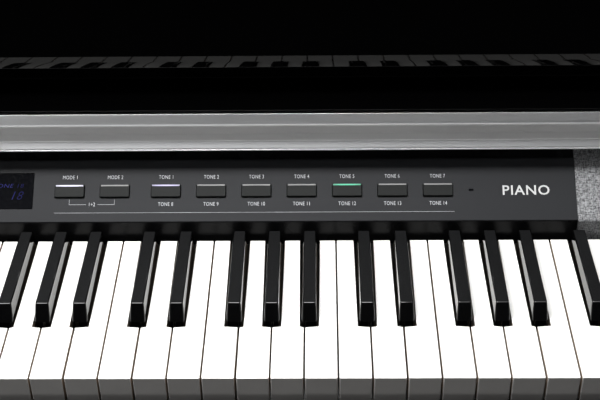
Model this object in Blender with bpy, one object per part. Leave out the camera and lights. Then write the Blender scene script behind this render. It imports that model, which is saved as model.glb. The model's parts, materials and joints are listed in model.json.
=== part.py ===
"""Digital piano on a panel stand, 88 keys, with a sliding key cover.

Metres, +Z up, player at -Y, bass at -X. The origin is on the floor, midway along the width and depth.
Almost everything in the cabinet is placed from keyboard_datum, an empty on the front top edge of the
white keys, because an instrument is laid out from its keyboard.
"""
import math

import bmesh
import bpy
from mathutils import Vector

# Overall size
DEPTH = 0.460
KEY_TOP_HEIGHT = 0.730
SIDE_INNER_X = 0.655
SIDE_THICKNESS = 0.025
FIT_GAP = 0.0003
FRONT_OVERHANG = 0.045
KEY_FRONT_Y = FRONT_OVERHANG - DEPTH / 2
REAR_Y = DEPTH - FRONT_OVERHANG

# Keyboard
KEY_COUNT = 88
WHITE_COUNT = 52
WHITE_PITCH = 0.0235
WHITE_GAP = 0.0010
WHITE_LENGTH = 0.1498
WHITE_HEAD = 0.0512
WHITE_HEIGHT = 0.022
SLOT_WIDTH = 0.0140
BLACK_BASE_WIDTH = 0.0128
BLACK_TOP_WIDTH = 0.0094
BLACK_FRONT = 0.0560
BLACK_TOP_FRONT = 0.0630
BLACK_REAR = 0.1490
BLACK_RISE_FRONT = 0.0125
BLACK_RISE_REAR = 0.0098
BLACK_BOTTOM = -0.020
BLACK_SHIFT = {"c_sharp": -0.0023, "d_sharp": 0.0023, "f_sharp": -0.0034, "g_sharp": 0.0,
               "a_sharp": 0.0034}
PIVOT_Y = 0.235
PIVOT_Z = -0.016
LEVER_INSET = 0.0010
WHITE_LEVER = (-0.0210, -0.0140)
WHITE_HEEL = (-0.0340, -0.0140)
WHITE_BAR = (-0.0340, -0.0195)
BLACK_LEVER = (-0.0180, -0.0100)
BLACK_HEEL = (-0.0180, 0.0010)
BLACK_BAR = (-0.0115, 0.0010)
BLACK_LEVER_WIDTH = 0.0080
HEEL_HALF_LENGTH = 0.0090
HEEL_RAMP = 0.0040
FIRST_SINGLE_KEY = 51
LAST_SINGLE_KEY = 62
NOTE_NAMES = ("c", "c_sharp", "d", "d_sharp", "e", "f", "f_sharp", "g", "g_sharp", "a", "a_sharp", "b")
LOWEST_NOTE = 9

# Control panel: a vertical lip behind the keys, then a face that slopes up and back
PANEL_LIP_Y = 0.1545
PANEL_LIP_BOTTOM = -0.008
PANEL_EDGE_Z = 0.0142
PANEL_SLOPE = math.radians(35.5)
PANEL_LENGTH = 0.066
PANEL_THICKNESS = 0.003
PANEL_HALF_WIDTH = 0.444
BUTTON_SIZE = (0.0227, 0.0100)
BUTTON_RADIUS = 0.0010
BUTTON_PROUD = 0.0018
BUTTON_DEPTH = 0.0060
BUTTON_ROW = 0.0251
BUTTON_PITCH = 0.03515
MODE_BUTTON_X = 0.0517
VOICE_BUTTON_X = 0.1267
VOICE_BUTTONS = 7
DISPLAY_SIZE = (0.0460, 0.0288)
DISPLAY_ROW = 0.0257
POWER_X = -0.400
POWER_RADIUS = 0.0070
VOLUME_X = -0.345
VOLUME_RADIUS = 0.0115
VOLUME_HEIGHT = 0.0120
SHAFT_RADIUS = 0.0030
BOARD_DEPTH = 0.0120

# Sliding key cover and its handle
COVER_SLOPE = math.radians(14.5)
COVER_TRAVEL = 0.195
COVER_THICKNESS = 0.007
COVER_FRONT = (0.1930, 0.0875)
COVER_LENGTH = 0.2195
COVER_HALF_WIDTH = 0.660
GROOVE_DEPTH = 0.0062
GROOVE_HEIGHT = 0.0100

# Case
UPPER_FACE = (0.2060, 0.1332)
UPPER_LEAN = math.radians(4.0)
UPPER_BACK_Y = 0.2270
UPPER_ARCS = ((0.1200, 0.0, 3.1, 3), (0.0265, 3.1, 17.0, 5), (0.1000, 17.0, 23.1, 2),
              (0.0120, 23.1, 78.0, 5))
CASE_TOP = 0.1950
TOP_BOARD_THICKNESS = 0.018
BED_TOP = -0.077
BED_THICKNESS = 0.018
BED_BOTTOM = BED_TOP - BED_THICKNESS
KEY_BLOCK_INNER_X = 0.6125
SLIP_FRONT = -0.030
SLIP_REAR = -0.003
SLIP_TOP = -0.017
REAR_PANEL_THICKNESS = 0.006
INLET_X = -0.520
INLET_Z = -0.020

# Music rest
REST_HALF_WIDTH = 0.330
REST_HEIGHT = 0.172
REST_THICKNESS = 0.010
REST_LEDGE = 0.022
REST_HINGE = (0.2400, CASE_TOP + TOP_BOARD_THICKNESS + 0.0075)
REST_RAISED = math.radians(72.0)

# Stand
FOOT_HEIGHT = 0.045
FOOT_WIDTH = 0.040
FOOT_FRONT = -0.220
LEG_TOP_FRONT = -0.070
LEG_WAIST = 0.055
BACK_BOARD_Y = (0.180, 0.195)
PEDAL_BOX_Y = (0.055, 0.195)
PEDAL_BOX_Z = (0.050, 0.150)
PEDAL_BOX_WALL = 0.015
PEDAL_SPACING = 0.085
PEDAL_PIVOT = (0.160, 0.088)
PEDAL_REACH = 0.205
PEDAL_THICKNESS = 0.008
ADJUSTER_RADIUS = 0.016

FINISHES = {
    "case_black": ((0.012, 0.012, 0.013), 0.38, 0.0),
    "gloss_black": ((0.003, 0.003, 0.003), 0.05, 0.0),
    "panel_black": ((0.035, 0.037, 0.042), 0.42, 0.0),
    "white_key": ((0.86, 0.86, 0.84), 0.22, 0.0),
    "black_key": ((0.010, 0.010, 0.011), 0.35, 0.0),
    "brushed_aluminium": ((0.62, 0.63, 0.64), 0.30, 1.0),
    "speaker_cloth": ((0.34, 0.34, 0.35), 0.90, 0.0),
    "button_grey": ((0.060, 0.062, 0.058), 0.50, 0.0),
    "display_glass": ((0.004, 0.004, 0.008), 0.06, 0.0),
    "zinc_steel": ((0.50, 0.51, 0.52), 0.38, 1.0),
    "pedal_brass": ((0.76, 0.58, 0.26), 0.22, 1.0),
    "rubber": ((0.020, 0.020, 0.020), 0.80, 0.0),
    "circuit_board": ((0.020, 0.120, 0.050), 0.50, 0.0),
    "speaker_cone": ((0.030, 0.030, 0.032), 0.70, 0.0),
    "hardboard": ((0.060, 0.050, 0.042), 0.75, 0.0),
}


def clear_scene():
    """Start from an empty scene."""
    for item in list(bpy.data.objects):
        bpy.data.objects.remove(item)


def make_finishes():
    """One Principled material for each finish."""
    made = {}
    for name, (colour, roughness, metallic) in FINISHES.items():
        finish = bpy.data.materials.new(name)
        finish.use_nodes = True
        shader = finish.node_tree.nodes["Principled BSDF"]
        shader.inputs["Base Color"].default_value = (*colour, 1.0)
        shader.inputs["Roughness"].default_value = roughness
        shader.inputs["Metallic"].default_value = metallic
        made[name] = finish
    return made


def add_empty(name, location, tilt=0.0, parent=None):
    """A datum that parts are placed from; tilt turns it about X."""
    datum = bpy.data.objects.new(name, None)
    datum.location = location
    datum.rotation_euler = (tilt, 0.0, 0.0)
    datum.parent = parent
    bpy.context.scene.collection.objects.link(datum)
    return datum


def add_part(name, shape, finish, parent=None, location=(0.0, 0.0, 0.0), tilt=0.0):
    """Turn a bmesh into a named object with a finish."""
    bmesh.ops.recalc_face_normals(shape, faces=shape.faces)
    mesh = bpy.data.meshes.new(name)
    shape.to_mesh(mesh)
    shape.free()
    part = bpy.data.objects.new(name, mesh)
    part.location = location
    part.rotation_euler = (tilt, 0.0, 0.0)
    part.parent = parent
    bpy.context.scene.collection.objects.link(part)
    if finish:
        mesh.materials.append(FINISH[finish])
    return part


def add_cutter(name, shape, parent=None, location=(0.0, 0.0, 0.0), tilt=0.0):
    """A hidden shape for a Boolean."""
    cutter = add_part(name, shape, None, parent, location, tilt)
    cutter.hide_render = True
    cutter.display_type = 'WIRE'
    return cutter


def combine(part, other, operation):
    """Boolean with a hidden shape: DIFFERENCE or UNION."""
    step = part.modifiers.new(other.name, 'BOOLEAN')
    step.operation = operation
    step.object = other
    step.solver = 'EXACT'


def soften(part, width, segments=1):
    """Rounded edges."""
    step = part.modifiers.new("edges", 'BEVEL')
    step.width = width
    step.segments = segments
    step.limit_method = 'ANGLE'


def add_box(shape, low, high):
    """Add a box between two corners to a bmesh."""
    corners = [shape.verts.new((x, y, z)) for z in (low[2], high[2]) for x, y in
               ((low[0], low[1]), (high[0], low[1]), (high[0], high[1]), (low[0], high[1]))]
    shape.faces.new(corners[3::-1])
    shape.faces.new(corners[4:])
    for i in range(4):
        j = (i + 1) % 4
        shape.faces.new((corners[i], corners[j], corners[j + 4], corners[i + 4]))


def box(low, high):
    """A box between two corners."""
    shape = bmesh.new()
    add_box(shape, low, high)
    return shape


def loft(rings):
    """A closed solid through rings that have the same number of points."""
    shape = bmesh.new()
    loops = [[shape.verts.new(point) for point in ring] for ring in rings]
    shape.faces.new(loops[0])
    shape.faces.new(loops[-1])
    for near, far in zip(loops, loops[1:]):
        for i in range(len(near)):
            j = (i + 1) % len(near)
            shape.faces.new((near[i], near[j], far[j], far[i]))
    return shape


def extrusion(outline, low, high):
    """A (y, z) outline drawn out along X."""
    return loft([[(x, y, z) for y, z in outline] for x in (low, high)])


def turned(profile, segments, stretch=(1.0, 1.0)):
    """A (radius, height) profile turned about Z, optionally made oval."""
    rings = []
    for radius, height in profile:
        angles = [2 * math.pi * i / segments for i in range(segments)]
        rings.append([(radius * stretch[0] * math.cos(a), radius * stretch[1] * math.sin(a), height)
                      for a in angles])
    return loft(rings)


def arc(centre, radius, start, end, steps):
    """Points on an arc, angles in degrees, both ends included."""
    angles = [math.radians(start + (end - start) * i / steps) for i in range(steps + 1)]
    return [(centre[0] + radius * math.cos(a), centre[1] + radius * math.sin(a)) for a in angles]


# Keys

def note_of(key):
    """Name of a key's note and its octave number, for key 0 at the bass end."""
    place = key + LOWEST_NOTE
    return NOTE_NAMES[place % 12], place // 12


def is_black(key):
    return note_of(key)[0].endswith("sharp")


def left_edge(key):
    """X of the white-key boundary at a white key's left, or under a black key."""
    whites_below = sum(1 for other in range(key) if not is_black(other))
    return (whites_below - WHITE_COUNT / 2) * WHITE_PITCH


def black_centre(key):
    return left_edge(key) + BLACK_SHIFT[note_of(key)[0]]


def key_centre(key):
    return black_centre(key) if is_black(key) else left_edge(key) + WHITE_PITCH / 2


def white_plan(key):
    """Plan of a white key: a wide head, and a stem cut back for the black keys beside it."""
    left = left_edge(key) + WHITE_GAP / 2
    right = left_edge(key) + WHITE_PITCH - WHITE_GAP / 2
    plan = [(left, 0.0), (right, 0.0)]
    stem_left, stem_right = left, right
    if key + 1 < KEY_COUNT and is_black(key + 1):
        stem_right = black_centre(key + 1) - SLOT_WIDTH / 2
        plan += [(right, WHITE_HEAD), (stem_right, WHITE_HEAD)]
    plan.append((stem_right, WHITE_LENGTH))
    if key > 0 and is_black(key - 1):
        stem_left = black_centre(key - 1) + SLOT_WIDTH / 2
        plan += [(stem_left, WHITE_LENGTH), (stem_left, WHITE_HEAD), (left, WHITE_HEAD)]
    else:
        plan.append((stem_left, WHITE_LENGTH))
    return plan, stem_left, stem_right


def lever_stations(start, lever, heel):
    """(y, low z, high z) of the hidden lever behind a key; a single key has a heel on the pivot."""
    stations = [(start, *lever)]
    if heel:
        front, rear = PIVOT_Y - HEEL_HALF_LENGTH, PIVOT_Y + HEEL_HALF_LENGTH
        stations += [(front - HEEL_RAMP, *lever), (front, *heel), (rear, *heel), (rear + HEEL_RAMP, *lever)]
    else:
        stations.append((PIVOT_Y + HEEL_HALF_LENGTH - LEVER_INSET, *lever))
    return stations


def add_key(shape, bottom, top, rear_side, span, stations, origin):
    """Add one key: a block between two plans, with its lever growing out of the rear side."""
    def place(x, y, z):
        return shape.verts.new(Vector((x, y, z)) - origin)

    low = [place(x, y, z) for x, y, z in bottom]
    high = [place(x, y, z) for x, y, z in top]
    shape.faces.new(low)
    shape.faces.new(high)
    for i in range(len(low)):
        j = (i + 1) % len(low)
        if i != rear_side:
            shape.faces.new((low[i], low[j], high[j], high[i]))
    j = (rear_side + 1) % len(low)
    ring = [low[rear_side], low[j], high[j], high[rear_side]]
    for y, bottom_z, top_z in stations:
        corners = ((span[1], bottom_z), (span[0], bottom_z), (span[0], top_z), (span[1], top_z))
        new_ring = [place(x, y, z) for x, z in corners]
        for k in range(4):
            shape.faces.new((ring[k], ring[(k + 1) % 4], new_ring[(k + 1) % 4], new_ring[k]))
        ring = new_ring
    shape.faces.new(ring)


def add_white_key(shape, key, origin, heel):
    plan, stem_left, stem_right = white_plan(key)
    bottom = [(x, y, -WHITE_HEIGHT) for x, y in plan]
    top = [(x, y, 0.0) for x, y in plan]
    rear_side = plan.index((stem_right, WHITE_LENGTH))
    span = (stem_left + LEVER_INSET, stem_right - LEVER_INSET)
    stations = lever_stations(WHITE_LENGTH, WHITE_LEVER, WHITE_HEEL if heel else None)
    add_key(shape, bottom, top, rear_side, span, stations, origin)


def add_black_key(shape, key, origin, heel):
    centre = black_centre(key)
    base, crown = BLACK_BASE_WIDTH / 2, BLACK_TOP_WIDTH / 2
    bottom = [(centre - base, BLACK_FRONT, BLACK_BOTTOM), (centre + base, BLACK_FRONT, BLACK_BOTTOM),
              (centre + base, BLACK_REAR, BLACK_BOTTOM), (centre - base, BLACK_REAR, BLACK_BOTTOM)]
    top = [(centre - crown, BLACK_TOP_FRONT, BLACK_RISE_FRONT),
           (centre + crown, BLACK_TOP_FRONT, BLACK_RISE_FRONT),
           (centre + crown, BLACK_REAR, BLACK_RISE_REAR), (centre - crown, BLACK_REAR, BLACK_RISE_REAR)]
    span = (centre - BLACK_LEVER_WIDTH / 2, centre + BLACK_LEVER_WIDTH / 2)
    stations = lever_stations(BLACK_REAR, BLACK_LEVER, BLACK_HEEL if heel else None)
    add_key(shape, bottom, top, 2, span, stations, origin)


def make_single_keys():
    """The keys of one octave, each on its own pivot."""
    for key in range(FIRST_SINGLE_KEY, LAST_SINGLE_KEY + 1):
        note, octave = note_of(key)
        origin = Vector((key_centre(key), PIVOT_Y, PIVOT_Z))
        shape = bmesh.new()
        if is_black(key):
            add_black_key(shape, key, origin, True)
        else:
            add_white_key(shape, key, origin, True)
        finish = "black_key" if is_black(key) else "white_key"
        add_part(f"key_{note}{octave}", shape, finish, KEYBOARD, origin)


def make_key_bank(name, keys, black):
    """Several keys of one colour joined by a bar on the pivot."""
    origin = Vector((0.0, PIVOT_Y, PIVOT_Z))
    shape = bmesh.new()
    for key in keys:
        if black:
            add_black_key(shape, key, origin, False)
        else:
            add_white_key(shape, key, origin, False)
    finish = "black_key" if black else "white_key"
    bank = add_part(name, shape, finish, KEYBOARD, origin)
    low_z, high_z = BLACK_BAR if black else WHITE_BAR
    margin = BLACK_LEVER_WIDTH / 2 if black else WHITE_PITCH / 2 - WHITE_GAP
    bar = box((key_centre(keys[0]) - margin, -HEEL_HALF_LENGTH, low_z - PIVOT_Z),
              (key_centre(keys[-1]) + margin, HEEL_HALF_LENGTH, high_z - PIVOT_Z))
    combine(bank, add_cutter(name + "_bar", bar, KEYBOARD, origin), 'UNION')


def make_keys():
    make_single_keys()
    banks = {"bass": range(FIRST_SINGLE_KEY), "treble": range(LAST_SINGLE_KEY + 1, KEY_COUNT)}
    for side, keys in banks.items():
        make_key_bank(f"{side}_white_keys", [key for key in keys if not is_black(key)], False)
        make_key_bank(f"{side}_black_keys", [key for key in keys if is_black(key)], True)


def make_key_frame():
    """Steel frame under the keys: a front stop rail and a pivot rail on one base plate."""
    base, plate, front_rail, rear_rail = BED_TOP + FIT_GAP, -0.0700, -0.0380, -0.0370
    outline = [(0.004, base), (0.300, base), (0.300, plate), (PIVOT_Y + 0.014, plate),
               (PIVOT_Y + 0.008, rear_rail), (PIVOT_Y - 0.008, rear_rail), (PIVOT_Y - 0.014, plate),
               (0.034, plate), (0.030, front_rail), (0.010, front_rail), (0.004, plate)]
    half_width = WHITE_COUNT / 2 * WHITE_PITCH
    add_part("key_frame", extrusion(outline, -half_width, half_width), "zinc_steel", KEYBOARD)


# Control panel

def panel_outline():
    """Section of the bent panel: lip, edge, sloped face, and the same again inside."""
    rise = (PANEL_LENGTH * math.cos(PANEL_SLOPE), PANEL_LENGTH * math.sin(PANEL_SLOPE))
    top = (PANEL_LIP_Y + rise[0], PANEL_EDGE_Z + rise[1])
    inner_top = (top[0] + PANEL_THICKNESS * math.sin(PANEL_SLOPE),
                 top[1] - PANEL_THICKNESS * math.cos(PANEL_SLOPE))
    inner_y = PANEL_LIP_Y + PANEL_THICKNESS
    drop = PANEL_THICKNESS * (1 - math.sin(PANEL_SLOPE)) / math.cos(PANEL_SLOPE)
    return [(PANEL_LIP_Y, PANEL_LIP_BOTTOM), (PANEL_LIP_Y, PANEL_EDGE_Z), top, inner_top,
            (inner_y, PANEL_EDGE_Z - drop), (inner_y, PANEL_LIP_BOTTOM)]


def button_places():
    """Name and X of every rectangular button."""
    places = {"value_down_button": -MODE_BUTTON_X - BUTTON_PITCH, "value_up_button": -MODE_BUTTON_X,
              "mode_button_1": MODE_BUTTON_X, "mode_button_2": MODE_BUTTON_X + BUTTON_PITCH}
    for i in range(VOICE_BUTTONS):
        places[f"voice_button_{i + 1}"] = VOICE_BUTTON_X + i * BUTTON_PITCH
    return places


def make_control_panel():
    """The dark panel, with a window for each control."""
    outline = panel_outline()
    panel = add_part("control_panel", extrusion(outline, -PANEL_HALF_WIDTH, PANEL_HALF_WIDTH),
                     "panel_black", KEYBOARD)
    windows = bmesh.new()
    through = (-2 * PANEL_THICKNESS, PANEL_THICKNESS)
    sizes = [(x, BUTTON_ROW, BUTTON_SIZE) for x in button_places().values()]
    sizes.append((0.0, DISPLAY_ROW, DISPLAY_SIZE))
    for x, row, size in sizes:
        half = (size[0] / 2 + FIT_GAP, size[1] / 2 + FIT_GAP)
        add_box(windows, (x - half[0], row - half[1], through[0]), (x + half[0], row + half[1], through[1]))
    combine(panel, add_cutter("panel_windows", windows, PANEL), 'DIFFERENCE')
    for name, x, radius in (("power_hole", POWER_X, POWER_RADIUS + FIT_GAP),
                            ("volume_hole", VOLUME_X, SHAFT_RADIUS + FIT_GAP)):
        hole = turned([(radius, through[0]), (radius, through[1])], 24)
        combine(panel, add_cutter(name, hole, PANEL, (x, BUTTON_ROW, 0.0)), 'DIFFERENCE')


def make_controls():
    """Button caps, power button, volume knob and display, all placed on the sloped face."""
    half = (BUTTON_SIZE[0] / 2, BUTTON_SIZE[1] / 2)
    for name, x in button_places().items():
        cap = box((-half[0], -half[1], -BUTTON_DEPTH), (half[0], half[1], BUTTON_PROUD))
        soften(add_part(name, cap, "button_grey", PANEL, (x, BUTTON_ROW, 0.0)), BUTTON_RADIUS / 2)
    power = turned([(POWER_RADIUS, -BUTTON_DEPTH), (POWER_RADIUS, BUTTON_PROUD - BUTTON_RADIUS / 2),
                    (POWER_RADIUS - BUTTON_RADIUS / 2, BUTTON_PROUD)], 24)
    add_part("power_button", power, "button_grey", PANEL, (POWER_X, BUTTON_ROW, 0.0))
    knob = turned([(SHAFT_RADIUS, -BOARD_DEPTH + FIT_GAP), (SHAFT_RADIUS, FIT_GAP), (VOLUME_RADIUS, FIT_GAP),
                   (VOLUME_RADIUS - 0.001, VOLUME_HEIGHT - 0.001),
                   (VOLUME_RADIUS - 0.002, VOLUME_HEIGHT)], 24)
    add_part("volume_knob", knob, "button_grey", PANEL, (VOLUME_X, BUTTON_ROW, 0.0))
    glass_half = (DISPLAY_SIZE[0] / 2, DISPLAY_SIZE[1] / 2)
    glass = box((-glass_half[0], -glass_half[1], -PANEL_THICKNESS), (glass_half[0], glass_half[1], FIT_GAP))
    add_part("display_window", glass, "display_glass", PANEL, (0.0, DISPLAY_ROW, 0.0))
    board = box((-0.330, 0.008, -BOARD_DEPTH - 0.0016), (0.380, 0.052, -BOARD_DEPTH))
    add_part("circuit_board", board, "circuit_board", PANEL)


def make_speakers():
    """Cloth-covered grilles at both ends of the panel, with an oval speaker behind each."""
    outline = panel_outline()
    for side, sign in (("left", -1), ("right", 1)):
        ends = sorted((sign * (PANEL_HALF_WIDTH + FIT_GAP), sign * (SIDE_INNER_X - FIT_GAP)))
        add_part(f"{side}_speaker_grille", extrusion(outline, *ends), "speaker_cloth", KEYBOARD)
        front = -PANEL_THICKNESS - FIT_GAP
        profile = [(0.0270, front), (0.0270, front - 0.003), (0.0240, front - 0.003), (0.0150, front - 0.014),
                   (0.0140, front - 0.024)]
        driver = turned(profile, 24, (2.1, 1.0))
        add_part(f"{side}_speaker", driver, "speaker_cone", PANEL, (sign * 0.548, PANEL_LENGTH / 2, 0.0))


# Sliding cover

def handle_outline():
    """Section of the aluminium handle: a flat top face, a scooped grip and a bead below."""
    return [(0.1925, 0.0886), (0.1906, 0.0898), (0.1888, 0.0832), (0.1876, 0.0812), (0.1876, 0.0798),
            (0.1897, 0.0727), (0.1912, 0.0650), (0.1866, 0.0606), (0.1875, 0.0600), (0.1864, 0.0592),
            (0.1870, 0.0582), (0.2040, 0.0582), (0.2040, 0.0830), (0.1925, 0.0830)]


def make_cover():
    """The cover board, tilted to its slide, and the handle along its front edge."""
    start = COVER_THICKNESS / 2 * math.tan(COVER_SLOPE) + FIT_GAP
    board = box((-COVER_HALF_WIDTH, start, -COVER_THICKNESS / 2),
                (COVER_HALF_WIDTH, COVER_LENGTH, COVER_THICKNESS / 2))
    add_part("key_cover", board, "gloss_black", COVER)
    half_width = SIDE_INNER_X - 0.0015
    handle = extrusion(handle_outline(), -half_width, half_width)
    add_part("cover_handle", handle, "brushed_aluminium", KEYBOARD)


# Case

def side_outline():
    """Section of an upper side panel: arm beside the keys, rising to the top board."""
    nose = arc((SLIP_FRONT, 0.032), -SLIP_FRONT - 0.015, 180.0, 100.0, 4)
    foot = arc((-0.030, BED_BOTTOM + 0.015), 0.015, 270.0, 180.0, 4)
    throat = arc((0.182, 0.1190), 0.018, 285.0, 355.0, 5)
    return ([(REAR_Y, BED_BOTTOM)] + foot + nose + throat
            + [(0.2060, CASE_TOP), (REAR_Y, CASE_TOP)])


def make_sides():
    """Upper side panels, grooved inside for the edges of the cover board."""
    groove_front = -COVER_TRAVEL - 0.004
    for side, sign in (("left", -1), ("right", 1)):
        ends = sorted((sign * SIDE_INNER_X, sign * (SIDE_INNER_X + SIDE_THICKNESS)))
        panel = add_part(f"{side}_side_panel", extrusion(side_outline(), *ends), "case_black", KEYBOARD)
        reach = sorted((sign * (SIDE_INNER_X - 0.010), sign * (SIDE_INNER_X + GROOVE_DEPTH)))
        groove = box((reach[0], groove_front, -GROOVE_HEIGHT / 2),
                     (reach[1], COVER_LENGTH + 0.002, GROOVE_HEIGHT / 2))
        combine(panel, add_cutter(f"{side}_groove", groove, COVER), 'DIFFERENCE')
        reach = sorted((sign * KEY_BLOCK_INNER_X, sign * (SIDE_INNER_X - FIT_GAP)))
        block = box((reach[0], SLIP_FRONT, BED_TOP + FIT_GAP), (reach[1], PANEL_LIP_Y - FIT_GAP, 0.001))
        soften(add_part(f"{side}_key_block", block, "case_black", KEYBOARD), 0.002)


def upper_outline():
    """Section of the glossy upper panel: it leans back, and rolls under into the cover slot."""
    rolled = []
    point = Vector(UPPER_FACE)
    for radius, start, end, steps in UPPER_ARCS:
        start_normal = Vector((-math.cos(math.radians(start)), -math.sin(math.radians(start))))
        centre = point - radius * start_normal
        rolled += arc(centre, radius, 180.0 + start, 180.0 + end, steps)[1:]
        point = Vector(rolled[-1])
    lean_radius = UPPER_ARCS[0][0]
    above = arc((UPPER_FACE[0] + lean_radius, UPPER_FACE[1]), lean_radius,
                180.0 - math.degrees(UPPER_LEAN), 180.0, 3)
    top_y = above[0][0] + (CASE_TOP - FIT_GAP - above[0][1]) * math.tan(UPPER_LEAN)
    return ([(UPPER_BACK_Y, CASE_TOP - FIT_GAP), (top_y, CASE_TOP - FIT_GAP)] + above + rolled
            + [(UPPER_BACK_Y, rolled[-1][1])])


def make_case():
    """Fixed boards of the cabinet."""
    inner = SIDE_INNER_X - FIT_GAP
    add_part("upper_panel", extrusion(upper_outline(), -inner, inner), "gloss_black", KEYBOARD)
    top_half = SIDE_INNER_X + SIDE_THICKNESS + 0.004
    top = box((-top_half, 0.2000, CASE_TOP + FIT_GAP), (top_half, REAR_Y, CASE_TOP + TOP_BOARD_THICKNESS))
    soften(add_part("top_board", top, "case_black", KEYBOARD), 0.003, 2)
    bed = box((-inner, SLIP_FRONT + 0.002, BED_BOTTOM), (inner, REAR_Y, BED_TOP))
    add_part("key_bed", bed, "case_black", KEYBOARD)
    slip_half = KEY_BLOCK_INNER_X - FIT_GAP
    slip = box((-slip_half, SLIP_FRONT, BED_TOP + FIT_GAP), (slip_half, SLIP_REAR, SLIP_TOP))
    soften(add_part("key_slip", slip, "case_black", KEYBOARD), 0.003, 2)
    rear = box((-inner, REAR_Y - REAR_PANEL_THICKNESS, BED_TOP + FIT_GAP), (inner, REAR_Y, CASE_TOP))
    rear_panel = add_part("rear_panel", rear, "hardboard", KEYBOARD)
    window = box((-0.0148, -0.020, -0.0118), (0.0148, 0.020, 0.0118))
    place = (INLET_X, REAR_Y - REAR_PANEL_THICKNESS, INLET_Z)
    combine(rear_panel, add_cutter("inlet_window", window, KEYBOARD, place), 'DIFFERENCE')
    inlet = add_part("power_inlet", box((-0.0145, -0.016, -0.0115), (0.0145, 0.0055, 0.0115)), "rubber",
                     KEYBOARD, place)
    socket = box((-0.0090, -0.012, -0.0050), (0.0090, 0.020, 0.0050))
    combine(inlet, add_cutter("inlet_socket", socket, KEYBOARD, place), 'DIFFERENCE')


def make_music_rest():
    """Board with a ledge on its lower edge, raised on its hinge; the local Y runs up the board."""
    base = -REST_THICKNESS / 2
    outline = [(0.0, base), (REST_HEIGHT - 0.006, base), (REST_HEIGHT, base + 0.003),
               (REST_HEIGHT, -base - 0.003), (REST_HEIGHT - 0.006, -base), (0.010, -base),
               (0.008, -base + 0.002), (0.006, REST_LEDGE - 0.002), (0.004, REST_LEDGE),
               (0.002, REST_LEDGE), (0.0, REST_LEDGE - 0.002)]
    rest = extrusion(outline, -REST_HALF_WIDTH, REST_HALF_WIDTH)
    place = (0.0, KEY_FRONT_Y + REST_HINGE[0], KEY_TOP_HEIGHT + REST_HINGE[1])
    add_part("music_rest", rest, "gloss_black", None, place, REST_RAISED)


# Stand

def leg_outline():
    """Section of a leg panel: upright back, and a front edge drawn in to a waist."""
    low, high = FOOT_HEIGHT + FIT_GAP, KEY_TOP_HEIGHT + BED_BOTTOM - FIT_GAP
    steps = 12
    front = []
    for i in range(steps + 1):
        share = i / steps
        drawn_in = LEG_WAIST * math.sin(math.pi * share) ** 2
        start = LEG_TOP_FRONT + 0.040 * (1 - share)
        front.append((start + drawn_in, low + (high - low) * share))
    return [(DEPTH / 2, high), (DEPTH / 2, low)] + front


def foot_outline():
    """Section of a foot: flat below, with rounded ends above."""
    radius = 0.030
    front = arc((FOOT_FRONT + radius, FOOT_HEIGHT - radius), radius, 90.0, 180.0, 5)
    return [(DEPTH / 2, 0.0), (DEPTH / 2, FOOT_HEIGHT)] + front + [(FOOT_FRONT, 0.0)]


def make_stand():
    """Leg panels, feet, back board and pedal box."""
    middle = SIDE_INNER_X + SIDE_THICKNESS / 2
    for side, sign in (("left", -1), ("right", 1)):
        ends = sorted((sign * SIDE_INNER_X, sign * (SIDE_INNER_X + SIDE_THICKNESS)))
        add_part(f"{side}_leg_panel", extrusion(leg_outline(), *ends), "case_black")
        ends = (sign * middle - FOOT_WIDTH / 2, sign * middle + FOOT_WIDTH / 2)
        add_part(f"{side}_foot", extrusion(foot_outline(), *ends), "case_black")
    inner = SIDE_INNER_X - FIT_GAP
    board = box((-inner, BACK_BOARD_Y[0], PEDAL_BOX_Z[1] + FIT_GAP),
                (inner, BACK_BOARD_Y[1], KEY_TOP_HEIGHT + BED_BOTTOM - FIT_GAP))
    add_part("back_board", board, "case_black")
    (front, rear), (low, high), wall = PEDAL_BOX_Y, PEDAL_BOX_Z, PEDAL_BOX_WALL
    channel = [(front, low), (rear, low), (rear, low + wall), (front + wall, low + wall),
               (front + wall, high - wall), (rear, high - wall), (rear, high), (front, high)]
    pedal_box = add_part("pedal_box", extrusion(channel, -inner, inner), "case_black")
    slots = bmesh.new()
    for i in (-1, 0, 1):
        add_box(slots, (i * PEDAL_SPACING - 0.016, front - 0.010, low + 0.020),
                (i * PEDAL_SPACING + 0.016, front + wall + 0.002, low + 0.048))
    combine(pedal_box, add_cutter("pedal_slots", slots), 'DIFFERENCE')


def pedal_plan():
    """Plan of a pedal about its pivot: narrow stem, then a wider foot plate with a round end."""
    stem, pad, rear = 0.0095, 0.0130, 0.010
    toe = arc((0.0, -PEDAL_REACH + pad), pad, 180.0, 360.0, 8)
    return ([(stem, rear), (-stem, rear), (-stem, -0.125), (-pad, -0.150)] + toe
            + [(pad, -0.150), (stem, -0.125)])


def make_pedals():
    """Three pedals on pivots inside the box, and the screw foot that props the box up."""
    half = PEDAL_THICKNESS / 2
    for i, name in enumerate(("left_pedal", "middle_pedal", "right_pedal")):
        rings = [[(x, y, z) for x, y in pedal_plan()] for z in (-half, half)]
        place = ((i - 1) * PEDAL_SPACING, *PEDAL_PIVOT)
        soften(add_part(name, loft(rings), "pedal_brass", None, place), 0.001)
    profile = [(ADJUSTER_RADIUS, 0.0), (ADJUSTER_RADIUS, 0.014), (0.012, 0.018), (0.007, 0.020),
               (0.007, PEDAL_BOX_Z[0] - FIT_GAP)]
    add_part("pedal_box_adjuster", turned(profile, 24), "rubber", None, (0.0, 0.110, 0.0))


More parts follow.
